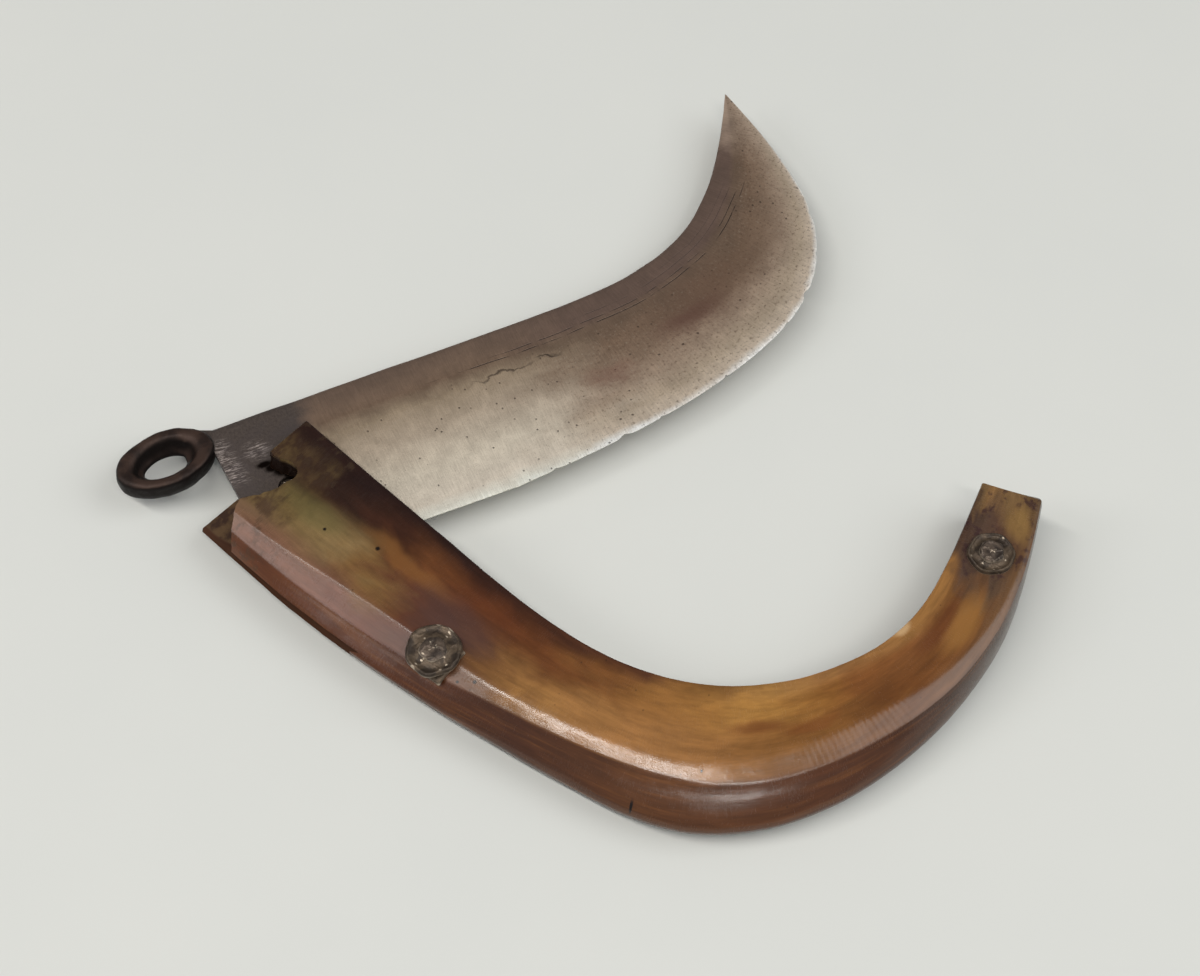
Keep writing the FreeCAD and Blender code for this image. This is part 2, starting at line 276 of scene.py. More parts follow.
def side_axes(piece, turn, first, second, columns):
    """For each vertex: its station, its place along the first side, how far it lies in from it, the width there
    and its height.  first and second are matching points of a piece's two sides."""
    run = lengths(first)
    tree = KDTree(len(first) * columns)
    for i in range(len(first)):
        for j in range(columns):
            spot = first[i] + (second[i] - first[i]) * (j / (columns - 1))
            tree.insert((spot[0], spot[1], 0), i * columns + j)
    tree.balance()
    for along, across, height in to_axes(points_of(piece), turn):
        i = tree.find((along, across, 0))[1] // columns
        forward = first[min(i + 1, len(first) - 1)] - first[max(i - 1, 0)]
        forward = forward / np.linalg.norm(forward)
        inward = second[i] - first[i]
        width = max(float(np.linalg.norm(inward)), THINNEST)
        inward = inward / width
        offset = np.array([along, across]) - first[i]
        deep = float(offset @ inward)
        ahead = float((offset - deep * inward) @ forward)
        yield i, run[i] + ahead, deep, width, height


# ---------------------------------------------------------------- horn
STATIONS = 430
# Shares of the back's length against the height of the grip's widest line, in millimetres.
WIDEST = [(0.0, 6.3), (0.27, 6.3), (0.37, 4.8), (0.54, 4.8), (0.62, 4.6), (1.0, 4.6)]
# The same against millimetres in from the back: where the flat top starts and where the facet ends.
FLAT_START = [
    (0.0, 4.2), (0.07, 4.8), (0.12, 6.2), (0.19, 6.9), (0.25, 6.6), (0.31, 5.9), (0.39, 6.5), (0.45, 7.6),
    (0.53, 9.2), (0.6, 9.0), (0.66, 7.8), (0.72, 6.6), (0.78, 3.9), (0.84, 2.6), (0.94, 1.2), (1.0, 0.8),
]
FACET_FOOT = [
    (0.0, 1.9), (0.07, 2.2), (0.12, 2.6), (0.19, 3.1), (0.25, 3.2), (0.4, 4.2), (0.5, 6.0), (0.58, 5.4),
    (0.66, 4.3), (0.72, 3.2), (0.78, 1.6), (0.86, 0.9), (0.94, 0.5), (1.0, 0.35),
]
# The facet's slope in degrees, and how round the crease above it is, in millimetres.
FACET_SLOPE = [
    (0.0, 31.0), (0.2, 29.0), (0.28, 27.0), (0.36, 25.0), (0.5, 22.5), (0.6, 20.5), (0.75, 22.0),
    (1.0, 21.0),
]
CREASE_ROUND = [(0.0, 0.12), (0.25, 0.15), (0.34, 0.40), (0.55, 0.45), (0.75, 0.25), (1.0, 0.15)]
# How sharply the side turns at the facet's foot (1: at once), and the share of it that curls in to the
# widest line.
FOOT_CRISP = [(0.0, 0.9), (0.25, 0.9), (0.37, 0.8), (1.0, 0.8)]
BACK_CURL = [(0.0, 0.10), (0.25, 0.12), (0.37, 0.26), (1.0, 0.26)]
FOOT_CURL = 0.34
HORN_RIM = 0.35
HORN_END_ROUND = 0.45
UNDERSIDE_ROUND = 6.2
RIB_START, RIB_END, RIB_PITCH, RIB_DEPTH = 107.0, 131.0, 1.06, 0.030
WORN_AWAY = 0.11
# How far a cutter reaches past the surface that it cuts.
PAST = 2.0


def horn_stations():
    """Points of the back and, square to the hollow side, their partners on the hollow side."""
    back = natural_spline(HORN_BACK, STATIONS)
    curve = natural_spline(HORN_HOLLOW, 600)
    hollow = evenly(np.concatenate([np.array(HORN_STRAIGHT[:1]), curve]), 1500)
    tree = KDTree(len(hollow))
    for i, point in enumerate(hollow):
        tree.insert((*point, 0), i)
    tree.balance()
    partner = np.array([tree.find((*point, 0))[1] for point in back], float)
    partner[0], partner[-1] = 0, len(hollow) - 1
    partner = np.maximum.accumulate(partner)
    reach = 12
    window = np.ones(2 * reach + 1) / (2 * reach + 1)
    padded = np.concatenate([np.full(reach, partner[0]), partner, np.full(reach, partner[-1])])
    partner = np.convolve(padded, window, "valid")
    partner = (partner - partner[0]) / (partner[-1] - partner[0]) * (len(hollow) - 1)
    inner = np.stack([np.interp(partner, np.arange(len(hollow)), hollow[:, k]) for k in range(2)], axis=1)
    return back, inner


def horn_profile(share, width):
    """The grip's section at a share of its length: a closed loop of (in from the back, height)."""
    flat = steps(share, FLAT_START)
    foot = steps(share, FACET_FOOT)
    slope = math.radians(steps(share, FACET_SLOPE))
    soft = steps(share, CREASE_ROUND)
    def facet_height(inward):
        return HORN_TOP - math.tan(slope) * soft * math.log(1 + math.exp((flat - inward) / soft))

    rim = width - HORN_RIM
    loop = [(width, HORN_TOP - HORN_RIM), (width - 0.1, HORN_TOP - 0.1), (rim, HORN_TOP)]
    bend = min(flat + 4 * soft, rim - 0.5)
    loop += [(rim - (rim - bend) * i / 26, HORN_TOP) for i in range(1, 26)]
    for i in range(18):
        inward = bend + (foot - bend) * i / 18
        loop.append((inward, facet_height(inward)))
    shoulder = facet_height(foot)
    widest = steps(share, WIDEST)
    rise = shoulder - widest
    entry = slope + steps(share, FOOT_CRISP) * (math.atan2(rise, foot) - slope)
    span = math.hypot(rise, foot)
    first, last = FOOT_CURL * span, steps(share, BACK_CURL) * span
    handles = [
        (foot, shoulder), (foot - first * math.cos(entry), shoulder - first * math.sin(entry)),
        (0.0, widest + last), (0.0, widest),
    ]
    for i in range(18):
        t = i / 18
        weights = ((1 - t) ** 3, 3 * t * (1 - t) ** 2, 3 * t * t * (1 - t), t ** 3)
        loop.append(tuple(sum(w * h[k] for w, h in zip(weights, handles)) for k in range(2)))
    under = UNDERSIDE_ROUND
    for i in range(13):
        angle = math.pi / 2 * i / 12
        loop.append((under * (1 - math.cos(angle)), widest - (widest - HORN_LOW) * math.sin(angle)))
    loop += [(under + (rim - under) * i / 12, HORN_LOW) for i in range(1, 13)]
    tall = HORN_TOP - HORN_LOW - 2 * HORN_RIM
    loop += [(width, HORN_LOW + HORN_RIM + tall * i / 10) for i in range(10)]
    return loop


def horn_surface(along_back, inward, height, share):
    """How far the worked surface stands above the plain one, in millimetres."""
    lift = 0.10 * rough(along_back, inward, height, 9.0) - WORN_AWAY
    lift += 0.035 * rough(along_back, inward, height, 2.6, 3.0)
    flat = steps(share, FLAT_START)
    foot = steps(share, FACET_FOOT)
    on_facet = height > HORN_TOP - 2.2 and foot - 0.3 < inward < flat + 0.9
    if on_facet and RIB_START < along_back < RIB_END:
        ends = min(along_back - RIB_START, RIB_END - along_back) / 3.0
        wave = math.cos(2 * math.pi * (along_back + 0.25 * inward) / RIB_PITCH)
        lift += RIB_DEPTH * wave * min(1.0, ends)
    return lift


def horn_blank(back, inner):
    """The whole grip before it is sawn and drilled."""
    run = lengths(back)
    rings = []
    for i in range(STATIONS):
        share = i / (STATIONS - 1)
        across = inner[i] - back[i]
        width = float(np.linalg.norm(across))
        across = across / width
        loop = horn_profile(share, width)
        end_gap = min(run[i], run[-1] - run[i])
        into_end = max(HORN_END_ROUND - end_gap, 0.0)
        inset = HORN_END_ROUND - math.sqrt(max(HORN_END_ROUND ** 2 - into_end ** 2, 0.0))
        ring = []
        for inward, height in loop:
            lift = horn_surface(run[i], inward, height, share) - inset
            side = (inward - width / 2) / (width / 2)
            tall = (height - (HORN_TOP + HORN_LOW) / 2) / ((HORN_TOP - HORN_LOW) / 2)
            top_share = abs(tall) ** 3
            edge_share = abs(side) ** 3
            total = max(top_share + edge_share, 0.05)
            new_height = height + min(lift, 0.0) * math.copysign(top_share / total, tall)
            new_inward = inward + lift * math.copysign(edge_share / total, side)
            if 0 < inward < width and abs(tall) > 0.5:
                new_height = height + (lift - 0.1) * math.copysign(top_share / total, tall)
            point = back[i] + across * new_inward
            ring.append(to_row((point[0], point[1], min(max(new_height, HORN_LOW), HORN_TOP)), GRIP_TURN))
        rings.append(ring)
    verts, faces = rings_mesh(rings)
    return new_piece("horn_grip", verts, faces)


def round_ring(centre, radius, level, count):
    """A level circle of points, its radius and level in millimetres."""
    return [Vector((centre.x + radius * c * MM, centre.y + radius * si * MM, level * MM))
            for c, si in circle(count)]


def hole_cutter(name, centre, radius, low, high):
    """An upright round cutter, its radius and heights in millimetres."""
    verts, faces = rings_mesh([round_ring(centre, radius, level, 48) for level in (low, high)])
    return new_piece(name, verts, faces, smooth=False)


def centre_of(node):
    low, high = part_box(node)
    return (low + high) / 2


def make_horn():
    back, inner = horn_stations()
    piece = horn_blank(back, inner)
    blank_tree = BVHTree.FromPolygons([v.co.copy() for v in piece.data.vertices],
                                      [tuple(p.vertices) for p in piece.data.polygons])
    slot = [tuple(p) for p in natural_spline(SLOT_FLOOR, 90)] + SLOT_MOUTH
    cut(piece, prism("slot_cutter", slot, SLOT_LOW, SLOT_TOP))
    jagged = [tuple(p) for p in evenly(BROKEN_CHEEK + BROKEN_CHEEK[:1], 150)[:-1]]
    middle = (SLOT_LOW + SLOT_TOP) / 2
    cut(piece, prism("break_cutter", jagged, middle, HORN_TOP + PAST, wobble=0.45, layers=9, lean=1.4))
    for node, radius in (("pivot_pin", 1.72), ("stop_rivet", 1.42), ("end_rivet", 1.42)):
        cut(piece, hole_cutter("hole_cutter", centre_of(node), radius, HORN_LOW - PAST, HORN_TOP + PAST))
    smooth_by_angle(piece, 32)
    write_grain(piece, back, inner)
    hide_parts("horn_handle")
    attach(piece, "grip")
    return piece, blank_tree


def write_grain(piece, back, inner):
    """Stores, at each vertex, its place along the back, share in from it and height as "grain".

    "fold" holds its height above the facet's foot, how far it lies inside the crease and its height above
    the widest line, in millimetres.
    """
    values, folds = [], []
    for i, along, deep, width, height in side_axes(piece, GRIP_TURN, back, inner, 24):
        values.append((along, deep / width, height))
        share = i / (STATIONS - 1)
        flat, foot = steps(share, FLAT_START), steps(share, FACET_FOOT)
        shoulder = HORN_TOP - math.tan(math.radians(steps(share, FACET_SLOPE))) * (flat - foot)
        folds.append((height - shoulder, deep - flat, height - steps(share, WIDEST)))
    write_vector(piece, "grain", values)
    write_vector(piece, "fold", folds)


# ---------------------------------------------------------------- blade
# Nicks in the cutting edge: (place along it, depth, width).
NICKS = [
    (46.5, 0.30, 0.9), (59.0, 0.50, 1.7), (66.0, 0.25, 0.8), (79.0, 0.22, 0.9), (93.5, 0.25, 0.8),
    (100.5, 0.55, 1.8), (109.0, 0.28, 1.0), (117.5, 0.42, 1.4), (129.0, 0.2, 0.8),
]
BLADE_HALF = 0.75
BLADE_RIM = 0.10
EDGE_HALF = 0.13
GRIND_START, GRIND_WIDTH = 7.5, 20.0
NICKS_START = 16.0
BLADE_HOLE = 1.75


def blade_sides():
    """Matching points of the blade's back and cutting edge, from the tang's end to the tip."""
    back_curve = natural_spline(BLADE_BACK, 400)
    back_straight = evenly([TANG_CORNER, BLADE_BACK[0]], 200)
    start = math.atan2(-math.sqrt(HEEL_RADIUS ** 2 - HEEL_ALONG ** 2), HEEL_ALONG)
    turns = np.linspace(start, -math.pi / 2, 20)
    heel = [(HEEL_RADIUS * math.cos(turn), HEEL_RADIUS * math.sin(turn)) for turn in turns]
    edge = np.concatenate([heel, natural_spline(BLADE_EDGE, 400)])
    split = int(np.argmin(np.abs(edge[:, 0] - BLADE_BACK[0][0])))
    first, second = 110, 180
    back = np.concatenate([evenly(back_straight, first), evenly(back_curve, second)[1:]])
    edge = np.concatenate([evenly(edge[:split + 1], first), evenly(edge[split:], second)[1:]])
    return back, edge


def nick_depth(place):
    depth = 0.05 * abs(rough(place, 0, 0, 1.6, 7.0)) + 0.06 * abs(rough(place, 0, 0, 5.0, 2.0))
    for centre, deep, wide in NICKS:
        depth += deep * math.exp(-((place - centre) / (wide / 2)) ** 2)
    return depth


def half_thickness(from_back, share):
    """Half the blade's thickness, from its blunt back to its thin edge."""
    ground = min(max((from_back - GRIND_START) / GRIND_WIDTH, 0.0), 1.0)
    thin = BLADE_HALF - (BLADE_HALF - EDGE_HALF) * ground
    near_tip = min((1 - share) * 9.0, 1.0)
    return BLADE_RIM + (thin - BLADE_RIM) * near_tip ** 0.6


def make_blade_plate():
    back, edge = blade_sides()
    run = lengths(edge)
    columns = 60
    rings = []
    for i in range(len(back)):
        share = i / (len(back) - 1)
        across = edge[i] - back[i]
        width = float(np.linalg.norm(across))
        direction = across / max(width, 1e-6)
        nicked = nick_depth(run[i]) if edge[i][0] > NICKS_START else 0.0
        depth = min(nicked, width * 0.3)
        spine_wave = 0.10 * rough(run[i], 3, 1, 7.0) if share < 0.97 else 0.0
        top, under = [], []
        for j in range(columns + 1):
            part = j / columns
            from_back = spine_wave * (1 - part) + (width - depth) * part
            thick = BLADE_RIM
            if width > THINNEST:
                thick = half_thickness((width - depth) * part, share)
            if j == 0:
                thick *= 0.72
            if j == columns:
                thick *= 0.55
            x, y = back[i] + direction * from_back
            dent = 0.025 * rough(x, y, 0, 6.0, 1.0) + 0.02 * rough(x, y, 0, 2.2, 4.0)
            middle = BLADE_MIDDLE + dent * min(part * 4, 1)
            top.append(to_row((x, y, middle + thick), BLADE_TURN))
            under.append(to_row((x, y, middle - thick), BLADE_TURN))
        rings.append(top + under[::-1])
    verts, faces = rings_mesh(rings)
    return new_piece("sickle_blade", verts, faces), back, edge


RING_CENTRE = (-16.4, 11.8)
RING_LEAN = math.radians(5.0)
RING_OUTER = (8.1, 5.2)
EYE_SHIFT = (-0.2, -0.1)
EYE_HALF = (3.5, 1.9)
RING_TALL = 1.88
RING_VOXEL = 0.19 * MM
NECK = [(-5.2, 12.9), (-7.2, 13.4), (-9.4, 14.0), (-12.4, 14.9)]
# Across the bar from its outer side (0) to its eye side (1), against height from -1 to 1.
RING_SECTION = [
    (0.0, 0.0), (0.02, 0.5), (0.08, 0.86), (0.2, 1.0), (0.42, 0.98), (0.56, 0.82), (0.72, 0.3),
    (0.9, -0.25),
    (1.0, -0.55), (0.93, -0.8), (0.75, -0.97), (0.5, -1.0), (0.25, -0.96), (0.08, -0.75), (0.01, -0.4),
]


def closed_curve(points, count):
    """count points on a smooth closed curve through a few section points."""
    tripled = points * 3
    dense = natural_spline(tripled + tripled[:1], 60 * len(points))
    run = lengths(dense)
    third = dense[(run >= run[-1] / 3) & (run < run[-1] * 2 / 3)]
    return evenly(np.concatenate([third, third[:1]]), count + 1)[:-1]


def make_ring():
    """The forged ring: a flattened bar round a small eye, with a neck into the tang's back corner."""
    section = closed_curve(RING_SECTION, 40)
    centre = np.array(RING_CENTRE)
    lean_cos, lean_sin = math.cos(RING_LEAN), math.sin(RING_LEAN)
    turned = np.array([[lean_cos, -lean_sin], [lean_sin, lean_cos]])
    rings = []
    for c, si in circle(150):
        outer = centre + turned @ np.array([RING_OUTER[0] * c, RING_OUTER[1] * si])
        lens = si * abs(si) ** 0.35 if c < 0 else si
        eye = centre + EYE_SHIFT + turned @ np.array([EYE_HALF[0] * min(c, 0.93), EYE_HALF[1] * lens])
        ring = []
        for part, height in section:
            spot = outer + (eye - outer) * part
            lump = 0.16 * rough(spot[0], spot[1], height * 2, 3.0, 9.0)
            lump += 0.07 * rough(spot[0], spot[1], height * 2, 1.2)
            spot = spot + (outer - eye) / np.linalg.norm(outer - eye) * lump
            level = min(max(height * RING_TALL + lump * height, -RING_TALL), RING_TALL)
            ring.append(to_row((spot[0], spot[1], BLADE_MIDDLE + level), BLADE_TURN))
        rings.append(ring)
    verts, faces = rings_mesh(rings + rings[:1], closed_ends=False)
    piece = new_piece("tang_ring", verts, faces)
    join(piece, make_neck())
    remesh = piece.modifiers.new("weld", "REMESH")
    remesh.mode = "VOXEL"
    remesh.voxel_size = RING_VOXEL
    smooth = piece.modifiers.new("soften", "SMOOTH")
    smooth.factor = 0.6
    smooth.iterations = 5
    bpy.context.view_layer.update()
    bake_modifiers(piece)
    piece.data.polygons.foreach_set("use_smooth", [True] * len(piece.data.polygons))
    return piece


def make_neck():
    """The short neck between the ring's top and the tang's back corner."""
    centre = natural_spline(NECK, 24)
    rings = []
    for i, point in enumerate(centre):
        share = i / (len(centre) - 1)
        ahead = centre[min(i + 1, len(centre) - 1)] - centre[max(i - 1, 0)]
        side = np.array([-ahead[1], ahead[0]]) / np.linalg.norm(ahead)
        wide = 1.05 + 0.35 * share
        tall = 0.60 + (1.5 - 0.60) * max(share * 1.4 - 0.4, 0.0)
        ring = []
        for c, si in circle(24):
            across = wide * math.copysign(abs(c) ** 0.6, c)
            level = tall * math.copysign(abs(si) ** 0.6, si)
            spot = point + side * across
            ring.append(to_row((spot[0], spot[1], BLADE_MIDDLE + level), BLADE_TURN))
        rings.append(ring)
    verts, faces = rings_mesh(rings)
    return new_piece("neck", verts, faces)


def write_blade_axes(piece, back, edge, lean=0.0):
    """Stores, at each vertex, its place along the blade, and how far from the back and at what share of the width.

    lean adds some of the height to the first two, so that a pattern doesn't run straight down a side.
    """
    values = []
    for _, along, deep, width, height in side_axes(piece, BLADE_TURN, back, edge, 30):
        up = lean * (height - BLADE_MIDDLE)
        values.append((along - abs(up), deep + up, min(max(deep / width, 0.0), 1.0)))
    write_vector(piece, "steel", values)


def make_blade():
    plate, back, edge = make_blade_plate()
    cut(plate, hole_cutter("hole_cutter", PIVOT, BLADE_HOLE, BLADE_MIDDLE - PAST, BLADE_MIDDLE + PAST))
    smooth_by_angle(plate, 35)
    write_blade_axes(plate, back, edge)
    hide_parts("blade")
    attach(plate, "blade")
    ring = make_ring()
    write_blade_axes(ring, back, edge, 0.7)
    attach(ring, "blade")
    return plate, ring


# ---------------------------------------------------------------- rivets and washers
# The square washer's corners, as a share of its half side, and how it sits under the rosette.
CORNER = 1.38
SQUARE_SHIFT = Vector((0.45, -0.55, 0.0))
SQUARE_TURN = math.radians(50)
SHANK_HOLE = 1.45
SHANK_LOW = 0.4
UNDER_FOOT = 0.45
# The pivot pin's broken end above the blade's middle, and how rounded it is.
PIN_BREAK = 0.35
PIN_RISE = 0.45


def hammered_disc(name, centre, radius, hole, thick, ground, seed, lip=0.16, dish=0.16, turn=None):
    """A washer beaten down on the surface under it.  ground(x, y) gives that surface's height in metres.

    lip raises its rim here and there, and dish hollows it between the rim and the hole.  With a turn the
    washer is square, and turned by it.
    """
    around, across = 144, 30
    rings_top, rings_under = [], []
    for j in range(across + 1):
        share = j / across
        top, under = [], []
        for i, (c, si) in enumerate(circle(around)):
            angle = math.tau * i / around
            if turn is None:
                waves = 0.035 * rough(2 * c, 2 * si, seed, 1.0, seed) + 0.022 * math.cos(6 * angle + seed)
                outer = radius * (1 + waves)
            else:
                side = max(abs(math.cos(angle - turn)), abs(math.sin(angle - turn)))
                outer = min(radius / side, radius * CORNER) * (1 + 0.012 * rough(3 * c, 3 * si, seed, 1.0))
            reach = hole + (outer - hole) * share
            x, y = centre.x + reach * c * MM, centre.y + reach * si * MM
            patchy = 0.55 + 0.75 * rough(1.4 * c, 1.4 * si, seed, 1.0, 3.0)
            rim_place = 0.84 + 0.06 * rough(1.1 * c, 1.1 * si, seed, 1.0, 8.0)
            rise = lip * patchy * math.exp(-((share - rim_place) / 0.075) ** 2)
            rise -= dish * math.exp(-((share - 0.55) / 0.26) ** 2)
            rise += 0.035 * rough(reach * c, reach * si, 0, 1.4, seed)
            rise += 0.02 * rough(reach * c, reach * si, 0, 0.45, seed)
            if turn is None:
                rise += 0.07 * max(0.0, 1 - 14 * abs(rough(reach * c, reach * si, 0, 2.4, seed + 4)))
            fade = min((1 - share) / 0.10, 1.0)
            edge = math.sqrt(max(1 - (1 - fade) ** 2, 0.0))
            height = (thick * (0.72 + 0.28 * edge) + rise) * (0.35 + 0.65 * edge)
            base = ground(x, y)
            top.append(Vector((x, y, base + min(max(height, 0.10), thick + 0.1) * MM)))
            under.append(Vector((x, y, base - 0.02 * MM)))
        rings_top.append(top)
        rings_under.append(under)
    verts, faces = rings_mesh(rings_top + rings_under[::-1], closed_ends=False)
    last = (len(rings_top) * 2 - 1) * around
    for i in range(around):
        following = (i + 1) % around
        faces.append((i, last + i, last + following, following))
    return new_piece(name, verts, faces)


def peened_head(name, centre, radius, shank, foot, rise, seed, flat=0.5):
    """A rivet: a round shank, and a beaten head that stands at the height foot, in millimetres.

    flat is how much of the head's radius is level before it falls away.
    """
    around, across = 80, 22
    rings = [round_ring(centre, shank, level, around) for level in (SHANK_LOW, foot - 0.2, foot)]
    for j in range(across + 1):
        share = 1 - j / across
        ring = []
        for i, (c, si) in enumerate(circle(around)):
            waves = 0.10 * rough(1.6 * c, 1.6 * si, seed, 1.0, seed)
            waves += 0.03 * math.cos(5 * math.tau * i / around + seed)
            reach = radius * (1 + waves) * share
            fall = max(share - flat, 0.0) / (1 - flat)
            dome = math.sqrt(max(1 - fall ** 2, 0.0))
            lump = 0.08 * rough(reach * c, reach * si, 0, 0.9, seed)
            crease = 0.16 * max(0.0, 1 - 6 * abs(rough(reach * c, reach * si, 0, 1.5, seed + 2)))
            height = min(foot + (rise - 0.14 + lump + crease) * dome, foot + rise)
            ring.append(Vector((centre.x + reach * c * MM, centre.y + reach * si * MM, height * MM)))
        rings.append(ring)
    verts, faces = rings_mesh(rings)
    return new_piece(name, verts, faces)


def under_head(centre, radius, seed):
    """The beaten head on the underside, from the shank down to the ground."""
    around, across = 64, 12
    rings = [round_ring(centre, radius * 0.9, UNDER_FOOT, around)]
    for j in range(across + 1):
        share = j / across
        ring = []
        for c, si in circle(around):
            outline = radius * (1 + 0.05 * rough(1.6 * c, 1.6 * si, seed, 1.0, seed))
            reach = outline * math.cos(share * math.pi / 2) ** 0.5
            height = UNDER_FOOT * (1 - min(1.0, math.sin(share * math.pi / 2) * 1.35))
            ring.append(Vector((centre.x + reach * c * MM, centre.y + reach * si * MM, height * MM)))
        rings.append(ring)
    verts, faces = rings_mesh(rings)
    return new_piece("under_head", verts, faces)


def fasten(piece, node):
    smooth_by_angle(piece, 40)
    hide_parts(node)
    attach(piece, "grip")
    return piece


def join(first, second):
    """Makes one piece of two meshes."""
    work = bmesh.new()
    work.from_mesh(first.data)
    work.from_mesh(second.data)
    work.to_mesh(first.data)
    work.free()
    bpy.data.objects.remove(second)
    return first


def make_fasteners(blank_tree):
    def horn_top(x, y):
        hit = blank_tree.ray_cast(Vector((x, y, 3 * HORN_TOP * MM)), Vector((0, 0, -1)))
        return hit[0].z if hit[0] else HORN_TOP * MM

    def stiff(share, lift):
        """The surface under a washer that keeps a share of its flatness over the horn's crease."""
        def ground(x, y):
            return share * HORN_TOP * MM + (1 - share) * horn_top(x, y) + lift * MM
        return ground

    low_base = heights("stop_low_washer")[0] * MM

    def low_ground(x, y):
        return low_base

    def add_washer(name, node, centre, radius, hole, thick, ground, seed, **shape):
        washer = hammered_disc(name, centre, radius, hole, thick, ground, seed, **shape)
        if ground is low_ground:
            flip_flat(washer, node)
        made.append(fasten(washer, node))

    def add_rivet(name, node, radius, shank, foot, rise, flat, under_radius, seeds):
        centre = centre_of(node)
        rivet = peened_head(name, centre, radius, shank, foot, rise, seeds[0], flat)
        join(rivet, under_head(centre, under_radius, seeds[1]))
        made.append(fasten(rivet, node))

    made = []
    stop, last = centre_of("stop_rivet"), centre_of("end_rivet")
    add_washer("stop_square_washer_beaten", "stop_square_washer", stop + SQUARE_SHIFT * MM, 3.05, 0.6, 0.4,
               stiff(0.35, 0.0), 3.0, lip=0.03, dish=0.02, turn=SQUARE_TURN)
    add_washer("stop_rosette_beaten", "stop_rosette", stop, 4.2, SHANK_HOLE, 0.55,
               stiff(0.8, 0.42), 11.0, lip=0.18, dish=0.22)
    add_rivet("stop_rivet_peened", "stop_rivet", 2.05, 1.4, HORN_TOP + 0.75, 0.58, 0.35, 2.1, (21.0, 5.0))
    add_washer("end_cap_washer_beaten", "end_cap_washer", last, 3.6, SHANK_HOLE, 0.65,
               horn_top, 31.0, lip=0.32, dish=0.26)
    add_rivet("end_rivet_peened", "end_rivet", 1.95, 1.4, HORN_TOP + 0.5, 0.62, 0.75, 2.1, (41.0, 6.0))
    pin_foot = BLADE_MIDDLE + PIN_BREAK - PIN_RISE
    add_rivet("pivot_pin_broken", "pivot_pin", 1.6, 1.68, pin_foot, PIN_RISE, 0.7, 2.4, (51.0, 7.0))
    for node, hole, seed in (("pivot_washer", BLADE_HOLE, 61.0), ("stop_low_washer", SHANK_HOLE, 71.0),
                             ("end_low_washer", SHANK_HOLE, 81.0)):
        add_washer(f"{node}_beaten", node, centre_of(node), 3.5, hole, 0.55, low_ground, seed)
    return made


def flip_flat(washer, node):
    """Turns a washer made face up so that its beaten face looks down, inside its own height."""
    low, high = heights(node)
    for vertex in washer.data.vertices:
        vertex.co.z = (low + high) * MM - vertex.co.z
        vertex.co.z = min(max(vertex.co.z, low * MM), high * MM)
    fix_normals(washer.data)


